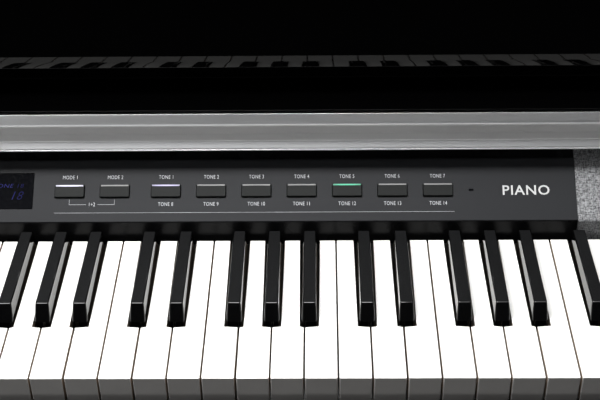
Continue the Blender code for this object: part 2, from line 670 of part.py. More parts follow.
clear_scene()
FINISH = make_finishes()
KEYBOARD = add_empty("keyboard_datum", (0.0, KEY_FRONT_Y, KEY_TOP_HEIGHT))
PANEL = add_empty("panel_datum", (0.0, PANEL_LIP_Y, PANEL_EDGE_Z), PANEL_SLOPE, KEYBOARD)
COVER = add_empty("cover_datum", (0.0, *COVER_FRONT), COVER_SLOPE, KEYBOARD)
make_keys()
make_key_frame()
make_control_panel()
make_controls()
make_speakers()
make_cover()
make_sides()
make_case()
make_music_rest()
make_stand()
make_pedals()
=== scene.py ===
"""Looks for the digital piano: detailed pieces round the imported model, its finishes, lights and camera.

Metres, +Z up, player at -Y, bass at -X. Two working frames are used, as in the CAD source: KEYS, with its
origin on the front top edge of the white keys, and PANEL, on the sloped face, with Y up the slope.
"""
import json
import random
from math import cos, pi, radians, sin, tan, tau

import bmesh
import bpy
from mathutils import Matrix, Vector


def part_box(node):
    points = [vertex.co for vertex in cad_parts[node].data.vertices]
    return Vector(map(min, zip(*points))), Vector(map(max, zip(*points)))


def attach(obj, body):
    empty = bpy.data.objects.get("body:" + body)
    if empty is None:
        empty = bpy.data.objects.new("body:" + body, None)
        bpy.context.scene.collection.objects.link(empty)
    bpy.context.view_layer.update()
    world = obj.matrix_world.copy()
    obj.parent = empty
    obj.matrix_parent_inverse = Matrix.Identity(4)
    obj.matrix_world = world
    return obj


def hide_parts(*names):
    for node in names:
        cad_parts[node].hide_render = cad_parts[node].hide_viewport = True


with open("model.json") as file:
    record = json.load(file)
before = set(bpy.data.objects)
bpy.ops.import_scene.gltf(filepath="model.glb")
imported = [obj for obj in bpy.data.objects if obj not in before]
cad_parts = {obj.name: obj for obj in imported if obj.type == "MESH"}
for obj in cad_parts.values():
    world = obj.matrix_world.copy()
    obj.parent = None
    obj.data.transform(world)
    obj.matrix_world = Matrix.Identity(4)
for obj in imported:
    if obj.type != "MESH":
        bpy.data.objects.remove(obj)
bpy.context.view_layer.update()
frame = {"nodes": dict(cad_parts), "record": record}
NODES = frame["nodes"]
DRAWS = random.Random(88)

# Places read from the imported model
KEY_LOW, KEY_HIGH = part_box("bass_white_keys")
KEYS = Vector((0.0, KEY_LOW.y, KEY_HIGH.z))

# Sizes that repeat the CAD source
PITCH, GAP = 0.0235, 0.0010
WHITE_LENGTH, WHITE_HEAD, WHITE_HEIGHT = 0.1498, 0.0512, 0.022
SLOT_WIDTH = 0.0147
BLACK_BASE, BLACK_TOP = 0.0128, 0.0094
BLACK_FOOT, BLACK_TOP_FRONT, BLACK_REAR = 0.0560, 0.0630, 0.1490
BLACK_RISE, BLACK_RISE_REAR, BLACK_BOTTOM = 0.0125, 0.0098, -0.020
BLACK_SHIFT = {"c_sharp": -0.0023, "d_sharp": 0.0023, "f_sharp": -0.0034, "g_sharp": 0.0, "a_sharp": 0.0034}
PIVOT_Y = 0.235
NOTES = ("c", "c_sharp", "d", "d_sharp", "e", "f", "f_sharp", "g", "g_sharp", "a", "a_sharp", "b")
FIRST_SINGLE, LAST_SINGLE, KEY_COUNT, WHITE_COUNT = 51, 62, 88, 52
LIP_Y, LIP_BOTTOM, EDGE_Z = 0.1545, -0.008, 0.0142
SLOPE, SLOPE_LENGTH = radians(35.5), 0.066
SHEET_METAL = 0.003
TOP_BOARD = 0.943
# Where the film ends up the slope, and how deep the strip past it is set; the strip's dark moulding is
# painted shade for the handle's shadow
FILM_END, SHADE_STRIP_DEPTH = 0.0515, 0.0016
BUTTON = (0.0227, 0.0100)
BUTTON_PROUD, BUTTON_DEPTH = 0.0018, 0.006
DISPLAY = (0.0460, 0.0288)
BUTTONS = (["value_down_button", "value_up_button", "mode_button_1", "mode_button_2"]
           + [f"voice_button_{i + 1}" for i in range(7)])

# Sizes that only the looks have: a key's play, its rolled rear, the gap round a button, places on the panel,
# the print's thickness, and the share of a font's size that its capitals take
PLAY_UP, PLAY_SIDE = 0.00009, 0.00011
REAR_ROLL, REAR_DROP = 0.0040, 0.0007
BUTTON_PLAY = 0.00042
LED_X, LED_DEPTH, MARK_X, UNDERLINE_Y = 0.3633, -0.0011, 0.4055, 0.0077
INK_LOW, INK_HIGH, CAPITAL_SHARE = 0.00001, 0.00007, 0.70

# How far an inner offset of the panel's bend drops, as a share of the offset
BEND_SHARE = (1 - sin(SLOPE)) / cos(SLOPE)
PANEL = Matrix.Translation(KEYS + Vector((0.0, LIP_Y, EDGE_Z))) @ Matrix.Rotation(SLOPE, 4, 'X')


# ---- finishes

# Middle of the handle's scoop above KEYS, and shader values that only some moulded finishes have
SCOOP_HEIGHT = 0.0780
MOULDED_SOCKETS = {"button_grey": {"Specular_IOR_Level": 0.10}, "display_glass": {"Specular_IOR_Level": 0.07},
                   "felt": {"Sheen_Weight": 0.4}}


class Finish:
    """A Principled material, with short calls for the nodes that feed it."""

    def __init__(self, name, **sockets):
        self.material = bpy.data.materials.new(name)
        self.material.use_nodes = True
        self.tree = self.material.node_tree
        self.shader = self.tree.nodes["Principled BSDF"]
        self.put(**sockets)

    def put(self, **sockets):
        """Set or link shader sockets; a colour is three numbers."""
        for name, value in sockets.items():
            self.feed(self.shader.inputs[name.replace("_", " ")], value)
        return self

    def feed(self, socket, value):
        if isinstance(value, bpy.types.NodeSocket):
            self.tree.links.new(value, socket)
        elif isinstance(value, tuple) and len(value) == 3 and len(socket.default_value) == 4:
            socket.default_value = (*value, 1.0)
        else:
            socket.default_value = value

    def node(self, kind, inputs, **settings):
        made = self.tree.nodes.new(kind)
        for name, value in settings.items():
            setattr(made, name, value)
        for name, value in inputs.items():
            self.feed(made.inputs[name], value)
        return made

    def place(self, stretch=(1.0, 1.0, 1.0)):
        """Coordinates fixed to the piece, stretched along its axes."""
        at = self.node("ShaderNodeTexCoord", {}).outputs["Object"]
        return self.node("ShaderNodeMapping", {"Vector": at, "Scale": stretch}).outputs["Vector"]

    def noise(self, scale, detail=2.0, stretch=(1.0, 1.0, 1.0), rough=0.5, twist=0.0):
        inputs = {"Vector": self.place(stretch), "Scale": scale, "Detail": detail, "Roughness": rough,
                  "Distortion": twist}
        return self.node("ShaderNodeTexNoise", inputs).outputs[0]

    def span(self, value, low=0.3, high=0.7, to_low=0.0, to_high=1.0, **settings):
        """Map a value from one range to another, clamped. A noise lies mostly between 0.3 and 0.7."""
        inputs = {"Value": value, "From Min": low, "From Max": high, "To Min": to_low, "To Max": to_high}
        return self.node("ShaderNodeMapRange", inputs, **settings).outputs["Result"]

    def rough(self, noise, low, high):
        """A roughness that follows a noise."""
        return self.span(noise, to_low=low, to_high=high)

    def sum(self, a, b, operation='ADD'):
        return self.node("ShaderNodeMath", {0: a, 1: b}, operation=operation).outputs[0]

    def blend(self, share, a, b):
        """A colour between two others."""
        mixed = self.node("ShaderNodeMix", {}, data_type='RGBA')
        self.feed(mixed.inputs[0], share)
        self.feed(mixed.inputs[6], a)
        self.feed(mixed.inputs[7], b)
        return mixed.outputs[2]

    def bump(self, height, distance, strength):
        inputs = {"Height": height, "Distance": distance, "Strength": strength}
        return self.node("ShaderNodeBump", inputs).outputs["Normal"]

    def surface(self, tint, dark, light, rough, relief, distance, strength):
        """Colour between two tones, roughness, and relief. Each follows a noise."""
        return self.put(Base_Color=self.blend(tint, dark, light), Roughness=rough,
                        Normal=self.bump(relief, distance, strength)).material


def white_key_finish():
    """Moulded acrylic: faint warm clouding, and a finger-worn gloss."""
    made = Finish("white_key", IOR=1.49, Specular_IOR_Level=0.5)
    cloud = made.span(made.noise(9.0, 4.0, (1.0, 0.25, 1.0)), 0.35, 0.65)
    wear = made.rough(made.noise(60.0, 5.0, (1.0, 0.4, 1.0), 0.6), 0.17, 0.29)
    return made.surface(cloud, (0.83, 0.825, 0.80), (0.86, 0.855, 0.835), wear,
                        made.noise(2600.0), 0.000004, 0.5)


def key_side_finish():
    """Wood-look side of a white key: warm, with a grain along the key."""
    made = Finish("white_key_side")
    grain = made.noise(900.0, 4.0, (1.0, 0.03, 1.0), 0.65)
    return made.surface(grain, (0.30, 0.225, 0.165), (0.48, 0.385, 0.30), made.rough(grain, 0.5, 0.65),
                        grain, 0.00002, 0.5)


def painted_shade_key_front_finish():
    """Front of a white key: the same acrylic, painted darker, greyer and warmer, as shade where little light
    reaches the front.
    """
    made = Finish("white_key_front_painted_shade", IOR=1.49, Specular_IOR_Level=0.3)
    cloud = made.span(made.noise(30.0, 4.0), 0.35, 0.65)
    # Tones about 0.6 of the top's: painted shade on the front faces, not a different plastic.
    return made.surface(cloud, (0.50, 0.485, 0.465), (0.54, 0.525, 0.505),
                        made.rough(made.noise(120.0, 4.0), 0.30, 0.42), made.noise(2600.0), 0.000004, 0.5)


def black_top_finish():
    """The grained, matt face of a black key."""
    made = Finish("black_key_top", IOR=1.5, Specular_IOR_Level=0.16)
    grain = made.noise(1700.0, 3.0, (1.0, 0.30, 1.0), 0.65)
    specks = made.span(made.noise(2100.0, 3.0, (1.0, 0.55, 1.0), 0.7), 0.52, 0.74)
    return made.surface(specks, (0.0018, 0.0019, 0.0021), (0.0135, 0.0140, 0.0155),
                        made.rough(grain, 0.44, 0.58), grain, 0.00005, 0.6)


def black_side_finish():
    """The polished flanks, front and rounded edges of a black key."""
    made = Finish("black_key_side", IOR=1.5)
    return made.surface(made.noise(40.0), (0.0008, 0.0008, 0.0008), (0.0014, 0.0014, 0.0016),
                        made.rough(made.noise(140.0, 4.0), 0.045, 0.080), made.noise(900.0), 0.000004, 0.4)


def case_finish():
    """Satin black film over board: an embossed ash grain along the boards, with faint handling marks."""
    made = Finish("case_black", IOR=1.5)
    pores = made.noise(420.0, 4.0, (0.05, 1.0, 1.0), 0.6, 0.4)
    return made.surface(made.span(pores, 0.42, 0.62), (0.0075, 0.0075, 0.0080), (0.014, 0.014, 0.015),
                        made.rough(made.noise(7.0, 4.0), 0.33, 0.44), pores, 0.00012, 0.55)


def gloss_finish():
    """Polished black lacquer, with faint wipe marks."""
    made = Finish("gloss_black", IOR=1.47, Specular_IOR_Level=0.16)
    wiped = made.span(made.noise(14.0, 5.0, (0.3, 1.0, 1.0), 0.6), 0.35, 0.75, 0.025, 0.060)
    return made.surface(made.noise(3.0), (0.0004, 0.0004, 0.0004), (0.0008, 0.0008, 0.0009), wiped,
                        made.noise(55.0), 0.000004, 0.25)


def panel_finish():
    """Fine-textured blue-grey film on the sloped face."""
    made = Finish("panel_black", IOR=1.5, Specular_IOR_Level=0.15)
    tooth = made.noise(2400.0)
    return made.surface(made.noise(11.0, 3.0), (0.0140, 0.0148, 0.0168), (0.0165, 0.0175, 0.0198),
                        made.rough(tooth, 0.45, 0.52), tooth, 0.00002, 0.5)


def lip_finish():
    """Moulded black plastic under the film: the lip behind the keys and the window edges."""
    made = Finish("panel_moulding", IOR=1.5, Specular_IOR_Level=0.10)
    marks = made.noise(35.0, 3.0)
    return made.surface(marks, (0.004, 0.004, 0.0045), (0.007, 0.007, 0.0075), made.rough(marks, 0.25, 0.31),
                        made.noise(700.0), 0.000006, 0.4)


def aluminium_finish():
    """Extruded aluminium, brushed along its length and clear anodised, with a rougher scoop whose tone is
    painted darker as shade.
    """
    made = Finish("brushed_aluminium", Metallic=1.0, Anisotropic=0.3)
    streaks = made.noise(3000.0, 2.0, (0.00002, 1.0, 1.0), 0.6)
    broad = made.noise(700.0, 2.0, (0.00008, 1.0, 1.0))
    around = made.node("ShaderNodeTangent", {}, direction_type='RADIAL', axis='X').outputs[0]
    height = made.node("ShaderNodeSeparateXYZ", {"Vector": made.place()}).outputs["Z"]
    above = made.sum(height, KEYS.z + SCOOP_HEIGHT, 'SUBTRACT')
    fade_in, fade_out = made.span(above, -0.0128, -0.0118), made.span(above, 0.0034, 0.0042, 1.0, 0.0)
    # Scoop mask: it raises the roughness, the scoop's real finish, and darkens the tone there, which is
    # painted shade.
    satin_and_painted_shade = made.sum(fade_in, fade_out, 'MULTIPLY')
    rough = made.sum(made.rough(broad, 0.36, 0.40), made.sum(satin_and_painted_shade, 0.36, 'MULTIPLY'))
    tone = made.blend(streaks, (0.66, 0.665, 0.675), (0.74, 0.745, 0.755))
    made.put(Tangent=around)
    return made.surface(satin_and_painted_shade, tone, (0.56, 0.56, 0.565), rough, streaks, 0.0000005, 0.3)


def cloth_finish():
    """Melange grille cloth: each yarn runs light and dark along its length, in both directions."""
    made = Finish("speaker_cloth", Sheen_Weight=0.25, Sheen_Roughness=0.5)
    weft = made.noise(1250.0, 3.0, (0.24, 1.0, 1.0), 0.7)
    warp = made.noise(1250.0, 3.0, (1.0, 0.26, 0.26), 0.7)
    fuzz = made.noise(3200.0)
    return made.surface(made.span(made.sum(weft, warp), 0.84, 1.18), (0.050, 0.051, 0.054),
                        (0.34, 0.345, 0.355), made.rough(fuzz, 0.82, 0.97), fuzz, 0.00008, 0.6)


def moulded_finish(name, dark, light, rough, tooth=1500.0, depth=0.00002, **sockets):
    """Moulded plastic or rubber with a fine texture and slight colour variation."""
    made = Finish(name, **sockets)
    fine = made.noise(tooth)
    return made.surface(made.noise(24.0, 3.0), dark, light, made.rough(fine, rough - 0.06, rough + 0.06),
                        fine, depth, 0.6)


def metal_finish(name, dark, light, rough, stretch):
    """Bare or plated metal with fine polishing lines."""
    made = Finish(name, Metallic=1.0)
    lines, stains = made.noise(1100.0, 4.0, stretch, 0.65), made.noise(30.0, 5.0)
    polish = made.span(made.sum(lines, stains), 0.75, 1.25, rough - 0.06, rough + 0.08)
    return made.surface(made.span(stains, 0.35, 0.7), dark, light, polish, lines, 0.00001, 0.5)


def board_finish():
    """Brown hardboard: pressed fibres."""
    made = Finish("hardboard")
    fibres = made.noise(500.0, 6.0, (1.0, 1.0, 0.5), 0.75, 1.5)
    clumps = made.span(made.noise(45.0, 5.0, rough=0.7), 0.0, 1.0, 0.38, 0.62)
    return made.surface(made.span(made.sum(fibres, clumps), 0.75, 1.25), (0.052, 0.035, 0.023),
                        (0.098, 0.068, 0.045), made.rough(fibres, 0.68, 0.88), fibres, 0.00025, 0.6)


def guide_finish(name, base, glow=None, strength=0.0, gloss=0.5):
    """Light guide of a button: frosted, and brightest in the middle when lit."""
    made = Finish(name, IOR=1.49, Specular_IOR_Level=gloss)
    frost = made.noise(1800.0)
    lighter = tuple(1.15 * part for part in base)
    made.surface(frost, base, lighter, made.rough(frost, 0.35, 0.5), frost, 0.00001, 0.5)
    if glow:
        across = made.node("ShaderNodeSeparateXYZ", {"Vector": made.place()}).outputs["X"]
        off = made.node("ShaderNodeMath", {0: across}, operation='ABSOLUTE').outputs[0]
        fall = made.span(off, 0.0035, 0.0115, strength, strength * 0.35, interpolation_type='SMOOTHSTEP')
        made.put(Emission_Color=glow, Emission_Strength=fall)
    return made.material


FINISHES = {
    "white_key": white_key_finish(),
    "white_key_side": key_side_finish(),
    "white_key_front_painted_shade": painted_shade_key_front_finish(),
    "black_key": black_top_finish(),
    "black_key_side": black_side_finish(),
    "case_black": case_finish(),
    "gloss_black": gloss_finish(),
    "panel_black": panel_finish(),
    "panel_moulding": lip_finish(),
    "brushed_aluminium": aluminium_finish(),
    "speaker_cloth": cloth_finish(),
    "hardboard": board_finish(),
}
for row in (
        ("button_grey", (0.0098, 0.0108, 0.0106), (0.0118, 0.0130, 0.0126), 0.42),
        ("display_glass", (0.0030, 0.0032, 0.0040), (0.0042, 0.0044, 0.0054), 0.10, 400.0, 0.000003),
        ("rubber", (0.014, 0.014, 0.014), (0.024, 0.024, 0.023), 0.78, 900.0, 0.00008),
        ("felt", (0.050, 0.006, 0.008), (0.085, 0.012, 0.014), 0.93, 2600.0, 0.0002),
        ("speaker_cone", (0.018, 0.018, 0.019), (0.034, 0.034, 0.036), 0.7, 700.0, 0.0001),
        ("circuit_board", (0.010, 0.075, 0.028), (0.016, 0.105, 0.042), 0.42, 260.0, 0.00005),
        ("legend_ink", (0.46, 0.47, 0.49), (0.60, 0.61, 0.63), 0.5, 2000.0, 0.000005),
        ("mark_ink", (0.50, 0.50, 0.50), (0.62, 0.62, 0.62), 0.42, 2000.0, 0.000005)):
    FINISHES[row[0]] = moulded_finish(*row, **MOULDED_SOCKETS.get(row[0], {}))
for row in (("zinc_steel", (0.36, 0.37, 0.38), (0.52, 0.53, 0.54), 0.36, (0.1, 1.0, 1.0)),
            ("pedal_brass", (0.66, 0.47, 0.19), (0.80, 0.61, 0.28), 0.20, (1.0, 0.03, 1.0))):
    FINISHES[row[0]] = metal_finish(*row)
for row in (("guide_off", (0.19, 0.19, 0.188)),
            ("guide_white", (0.30, 0.30, 0.34), (0.80, 0.76, 1.0), 0.95),
            ("guide_violet", (0.26, 0.25, 0.32), (0.62, 0.56, 1.0), 0.55),
            ("guide_green", (0.05, 0.20, 0.13), (0.10, 0.80, 0.45), 0.55),
            ("display_digits", (0.004, 0.004, 0.012), (0.045, 0.045, 0.200), 0.95, 0.0)):
    FINISHES[row[0]] = guide_finish(*row)


# ---- mesh tools

def add_object(name, data):
    """A new object, linked into the scene."""
    made = bpy.data.objects.new(name, data)
    bpy.context.scene.collection.objects.link(made)
    return made


def mesh_of(shape, name):
    """Turn a bmesh into a mesh, with its faces turned outward."""
    bmesh.ops.recalc_face_normals(shape, faces=shape.faces)
    mesh = bpy.data.meshes.new(name)
    shape.to_mesh(mesh)
    shape.free()
    return mesh


def shade(mesh, sharp=32.0):
    """Smooth shading, with edges over an angle kept sharp."""
    mesh.shade_smooth()
    mesh.set_sharp_from_angle(angle=radians(sharp))


def piece(name, shape, body, finish, replaces=(), place=None, sharp=32.0, weighted=True):
    """Turn a bmesh into a piece that rides on a body. finish is a name, or a list of names."""
    mesh = mesh_of(shape, name)
    finishes = [finish] if isinstance(finish, str) else finish
    for one in finishes:
        mesh.materials.append(FINISHES[one])
    shade(mesh, sharp)
    made = add_object(name, mesh)
    if place is not None:
        made.matrix_world = place
    if weighted:
        made.modifiers.new("normals", 'WEIGHTED_NORMAL').keep_sharp = True
    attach(made, body)
    if replaces:
        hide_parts(*replaces)
    return made


def copy_into(shape, part):
    """Move one bmesh into another."""
    mesh = mesh_of(part, "part")
    shape.from_mesh(mesh)
    bpy.data.meshes.remove(mesh)


def fillet(outline, radii, steps):
    """Round the corners of a closed outline; radii is one radius, or one for each corner."""
    if isinstance(radii, float):
        radii = [radii] * len(outline)
    points = []
    for i, (corner, radius) in enumerate(zip(outline, radii)):
        if radius <= 0.0:
            points.append(tuple(corner))
            continue
        corner = Vector(corner)
        a, b = Vector(outline[i - 1]) - corner, Vector(outline[(i + 1) % len(outline)]) - corner
        half = a.angle(b) / 2
        reach = min(radius / tan(half), 0.49 * a.length, 0.49 * b.length)
        a.normalize()
        b.normalize()
        centre = corner + (a + b).normalized() * (reach / cos(half))
        start, end = corner + a * reach - centre, corner + b * reach - centre
        size = start.length
        start.normalize()
        end.normalize()
        points += [tuple(centre + start.slerp(end, k / steps) * size) for k in range(steps + 1)]
    return points


def heading(turn):
    return Vector((cos(turn), sin(turn)))


def ring_of(radius, x, y, steps=32):
    """A circle as an outline."""
    return [(x + radius * cos(tau * i / steps), y + radius * sin(tau * i / steps))
            for i in range(steps)]


def rectangle(x0, y0, x1, y1, radius=0.0):
    corners = [(x0, y0), (x1, y0), (x1, y1), (x0, y1)]
    return fillet(corners, radius, 3) if radius else corners


def rings_to_solid(shape, rings):
    """Join rings of points into a closed tube; the last two faces returned are its ends."""
    loops = [[shape.verts.new(point) for point in ring] for ring in rings]
    faces = []
    for near, far in zip(loops, loops[1:]):
        for i in range(len(near)):
            j = (i + 1) % len(near)
            faces.append(shape.faces.new((near[i], near[j], far[j], far[i])))
    return faces + [shape.faces.new(loops[0]), shape.faces.new(loops[-1])]


def round_edges(shape, edges, radius, segments):
    bmesh.ops.bevel(shape, geom=list(edges), offset=radius, offset_type='OFFSET', segments=segments,
                    profile=0.5, affect='EDGES', clamp_overlap=True)


def edges_of(faces):
    return {edge for face in faces for edge in face.edges}


def beam(outline, low, high, end_radius=0.0, segments=2, origin=KEYS):
    """A (y, z) outline drawn out along X, with its ends eased."""
    shape = bmesh.new()
    rings = [[(x, origin.y + y, origin.z + z) for y, z in outline] for x in (low, high)]
    faces = rings_to_solid(shape, rings)
    round_edges(shape, edges_of(faces[-2:]), end_radius, segments)
    return shape


def prism(outline, low, high, radius=0.0, segments=3, shape=None):
    """An (x, y) outline drawn up along Z, with its top edges rounded."""
    shape = shape or bmesh.new()
    faces = rings_to_solid(shape, [[(x, y, z) for x, y in outline] for z in (low, high)])
    if radius:
        round_edges(shape, faces[-1].edges, radius, segments)
    return shape


def box_shape(low, high, radius=0.0, segments=2, shape=None):
    """A box with every edge rounded."""
    shape = shape or bmesh.new()
    outline = rectangle(low[0], low[1], high[0], high[1])
    faces = rings_to_solid(shape, [[(x, y, z) for x, y in outline] for z in (low[2], high[2])])
    if radius:
        round_edges(shape, edges_of(faces), radius, segments)
    return shape


def turned(profile, segments=48, shape=None, place=Matrix.Identity(4), flutes=0, depth=0.0):
    """A profile turned about Z. A row is radius and height, and where it is fluted, a share of the depth."""
    shape = shape or bmesh.new()
    rings = []
    for radius, height, *share in profile:
        ring = []
        for i in range(segments):
            turn = tau * i / segments
            r = radius - depth * sum(share) * (0.5 - 0.5 * cos(flutes * turn))
            ring.append(place @ Vector((r * cos(turn), r * sin(turn), height)))
        rings.append(ring)
    rings_to_solid(shape, rings)
    return shape


def cut(made, cutter):
    """Cut a shape out of a piece for good."""
    tool = add_object("cutter", mesh_of(cutter, "cutter"))
    tool.matrix_world = made.matrix_world.copy()
    step = made.modifiers.new("cut", 'BOOLEAN')
    step.operation, step.object, step.solver = 'DIFFERENCE', tool, 'EXACT'
    for other in made.modifiers:
        other.show_viewport = other == step
    graph = bpy.context.evaluated_depsgraph_get()
    graph.update()
    made.data = bpy.data.meshes.new_from_object(made.evaluated_get(graph))
    made.modifiers.remove(step)
    for other in made.modifiers:
        other.show_viewport = True
    bpy.data.objects.remove(tool)


def soften(node, width):
    """Ease the edges of a CAD node that stays."""
    kept = NODES[node]
    kept.modifiers.new("weld", 'WELD').merge_threshold = 0.00001
    step = kept.modifiers.new("edges", 'BEVEL')
    step.width, step.segments, step.limit_method = width, 2, 'ANGLE'
    step.angle_limit = radians(40.0)
    kept.modifiers.new("normals", 'WEIGHTED_NORMAL')


def on_panel(node):
    """A node's centre in the PANEL frame."""
    low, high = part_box(node)
    return PANEL.inverted() @ ((low + high) / 2)


def panel_place(x, y):
    return PANEL @ Matrix.Translation((x, y, 0.0))


# ---- keys

# A key's finishes, in the order of its material slots
TOP, SIDE, FRONT, REAR = range(4)
KEY_FINISHES = {"white": ["white_key", "white_key_side", "white_key_front_painted_shade", "rubber"],
                "black": ["black_key", "black_key_side"]}


def note_of(key):
    return NOTES[(key + 9) % 12], (key + 9) // 12


def is_black(key):
    return note_of(key)[0].endswith("sharp")


def left_edge(key):
    """X of a white key's left boundary; under a black key, the boundary it stands over."""
    return (sum(1 for other in range(key) if not is_black(other)) - WHITE_COUNT / 2) * PITCH


def black_centre(key):
    return left_edge(key) + BLACK_SHIFT[note_of(key)[0]]


def add_lever(part, low_x, high_x, rear, bottom, top):
    """The lever that runs from the rear of a key to its pivot."""
    box_shape((low_x, rear + 0.00005, KEYS.z + bottom), (high_x, KEYS.y + PIVOT_Y + 0.008, KEYS.z + top),
              shape=part)


def settle(part):
    """The small play that a key has on its pivot: a little height, and a little lean to one side."""
    rise, lean = DRAWS.uniform(-PLAY_UP, PLAY_UP), DRAWS.uniform(-PLAY_SIDE, PLAY_SIDE)
    for point in part.verts:
        lever = (PIVOT_Y - (point.co.y - KEYS.y)) / PIVOT_Y
        point.co.z += rise * lever
        point.co.x += lean * lever


def add_white(shape, key):
    """One white key: a stepped plan, rounded edges, a softened rear and a lever to the pivot."""
    part = bmesh.new()
    left, right = left_edge(key) + GAP / 2 + 0.0001, left_edge(key) + PITCH - GAP / 2 - 0.0001
    stem_left, stem_right = left, right
    if key + 1 < KEY_COUNT and is_black(key + 1):
        stem_right = black_centre(key + 1) - SLOT_WIDTH / 2
    if key > 0 and is_black(key - 1):
        stem_left = black_centre(key - 1) + SLOT_WIDTH / 2
    plan, radii = [(left, 0.0), (right, 0.0)], [0.0011, 0.0011]
    if stem_right != right:
        plan += [(right, WHITE_HEAD), (stem_right, WHITE_HEAD)]
        radii += [0.0006, 0.0005]
    plan += [(stem_right, WHITE_LENGTH), (stem_left, WHITE_LENGTH)]
    radii += [0.0006, 0.0006]
    if stem_left != left:
        plan += [(stem_left, WHITE_HEAD), (left, WHITE_HEAD)]
        radii += [0.0005, 0.0006]
    outline = [(x, KEYS.y + y) for x, y in fillet(plan, radii, 3)]
    prism(outline, KEYS.z - WHITE_HEIGHT, KEYS.z, 0.00045, 3, part)
    for face in part.faces:
        face.normal_update()
        facing = face.normal
        side = abs(facing.x) > 0.96 or facing.z < -0.9
        face.material_index = REAR if facing.y > 0.9 else SIDE if side else FRONT if facing.y < -0.8 else TOP
    rear = KEYS.y + WHITE_LENGTH
    for point in part.verts:
        behind = (point.co.y - (rear - REAR_ROLL)) / REAR_ROLL
        if behind > 0.0 and point.co.z > KEYS.z - 0.006:
            point.co.z -= REAR_DROP * behind * behind
    add_lever(part, stem_left + 0.0010, stem_right - 0.0010, rear, -0.0210, -0.0140)
    settle(part)
    copy_into(shape, part)


def add_black(shape, key):
    """One black key: sloped front, polished flanks that lean in, and a matt top with rounded edges."""
    part = bmesh.new()
    centre, base, crown = black_centre(key), BLACK_BASE / 2, BLACK_TOP / 2
    rings = []
    for half, front, front_z, rear_z in (
            (base, BLACK_FOOT, BLACK_BOTTOM, BLACK_BOTTOM), (base, BLACK_FOOT, -0.006, -0.006),
            (base - 0.0006, BLACK_FOOT + 0.0006, 0.0, 0.0),
            (crown, BLACK_TOP_FRONT, BLACK_RISE, BLACK_RISE_REAR)):
        near, far = KEYS.y + front, KEYS.y + BLACK_REAR
        rings.append([(centre - half, near, KEYS.z + front_z), (centre + half, near, KEYS.z + front_z),
                      (centre + half, far, KEYS.z + rear_z), (centre - half, far, KEYS.z + rear_z)])
    rings_to_solid(part, rings)
    corners = [edge for edge in part.edges if abs(edge.verts[0].co.z - edge.verts[1].co.z) > 0.004
               and max(point.co.y for point in edge.verts) < KEYS.y + BLACK_REAR - 0.01]
    round_edges(part, corners, 0.0014, 4)
    bend = [edge for edge in part.edges
            if all(abs(point.co.z - KEYS.z) < 1e-5 and point.co.y < KEYS.y + BLACK_FOOT + 0.003
                   for point in edge.verts)]
    round_edges(part, bend, 0.00025, 2)
    top = max(part.faces, key=lambda face: face.calc_center_median().z)
    round_edges(part, top.edges, 0.00075, 4)
    for face in part.faces:
        face.normal_update()
        face.material_index = TOP if abs(face.normal.z) > 0.985 else SIDE
    add_lever(part, centre - 0.004, centre + 0.004, KEYS.y + BLACK_REAR, -0.018, -0.010)
    settle(part)
    copy_into(shape, part)


def make_keys():
    """88 keys. Those of one octave are single pieces; the banks go by octave and colour."""
    groups = {}
    for key in range(KEY_COUNT):
        note, octave = note_of(key)
        colour = "black" if is_black(key) else "white"
        if FIRST_SINGLE <= key <= LAST_SINGLE:
            node = f"key_{note}{octave}"
            name = node + "_cap"
        else:
            node = f"{'bass' if key < FIRST_SINGLE else 'treble'}_{colour}_keys"
            name = f"{colour}_keys_{octave}"
        groups.setdefault((name, node, colour), []).append(key)
    for (name, node, colour), keys in groups.items():
        shape, add = bmesh.new(), add_black if colour == "black" else add_white
        for key in keys:
            add(shape, key)
        piece(name, shape, node, KEY_FINISHES[colour], replaces=[node])


# ---- control panel

def panel_section(radius, inset=0.0, film_end=None):
    """Outline of the bent panel, with its front edge rounded."""
    along, inward = heading(SLOPE), heading(SLOPE - pi / 2)
    edge = Vector((LIP_Y, EDGE_Z)) + Vector((inset, -inset * BEND_SHARE))
    top = edge + along * (SLOPE_LENGTH - inset)
    inner = (edge.x + SHEET_METAL, edge.y - SHEET_METAL * BEND_SHARE)
    outline = [(edge.x, LIP_BOTTOM + inset), tuple(edge), tuple(top), tuple(top + inward * SHEET_METAL),
               inner, (inner[0], LIP_BOTTOM + inset)]
    radii = [0.0006, radius, 0.0006, 0.0003, 0.0008, 0.0003]
    # Past film_end the slope steps down into a strip that takes the darker moulding: painted shade for the
    # handle's shadow
    if film_end:
        step = edge + along * (film_end - inset)
        outline[2:2] = [tuple(step), tuple(step + inward * SHADE_STRIP_DEPTH)]
        outline[4] = tuple(top + inward * SHADE_STRIP_DEPTH)
        radii[2:2] = [0.0005, 0.0003]
    return fillet(outline, radii, 6)


def make_panel():
    """The panel, cut for its controls: film on the slope, glossy moulding on the lip and on a recessed strip
    atop the slope, that strip being painted shade for the handle's shadow.
    """
    low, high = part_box("control_panel")
    shape = beam(panel_section(0.0016, film_end=FILM_END), -high.x, high.x, 0.0002)
    shape.transform(PANEL.inverted())
    panel = piece("panel_shell", shape, "cabinet", ["panel_black", "panel_moulding"],
                  ["control_panel"], PANEL)
    windows, through = bmesh.new(), (-0.02, 0.01)
    for node, size in [(node, BUTTON) for node in BUTTONS] + [("display_window", DISPLAY)]:
        at = on_panel(node)
        x, y = size[0] / 2 + BUTTON_PLAY, size[1] / 2 + BUTTON_PLAY
        prism(rectangle(at.x - x, at.y - y, at.x + x, at.y + y, 0.0009), *through, shape=windows)
    for node, radius in (("power_button", 0.0074), ("volume_knob", 0.0036)):
        prism(ring_of(radius, on_panel(node).x, ROW), *through, shape=windows)
    prism(rectangle(LED_X - 0.0020, ROW - 0.0009, LED_X + 0.0020, ROW + 0.0009, 0.0008),
          LED_DEPTH, through[1], shape=windows)
    cut(panel, windows)
    # Film on the upper flat faces; the rest, including the recessed strip (painted shade for the handle's
    # shadow), takes the darker moulding
    for face in panel.data.polygons:
        flat = face.normal.z > 0.995 and face.center.z > -0.0004
        face.material_index = 0 if flat else 1
    shade(panel.data)


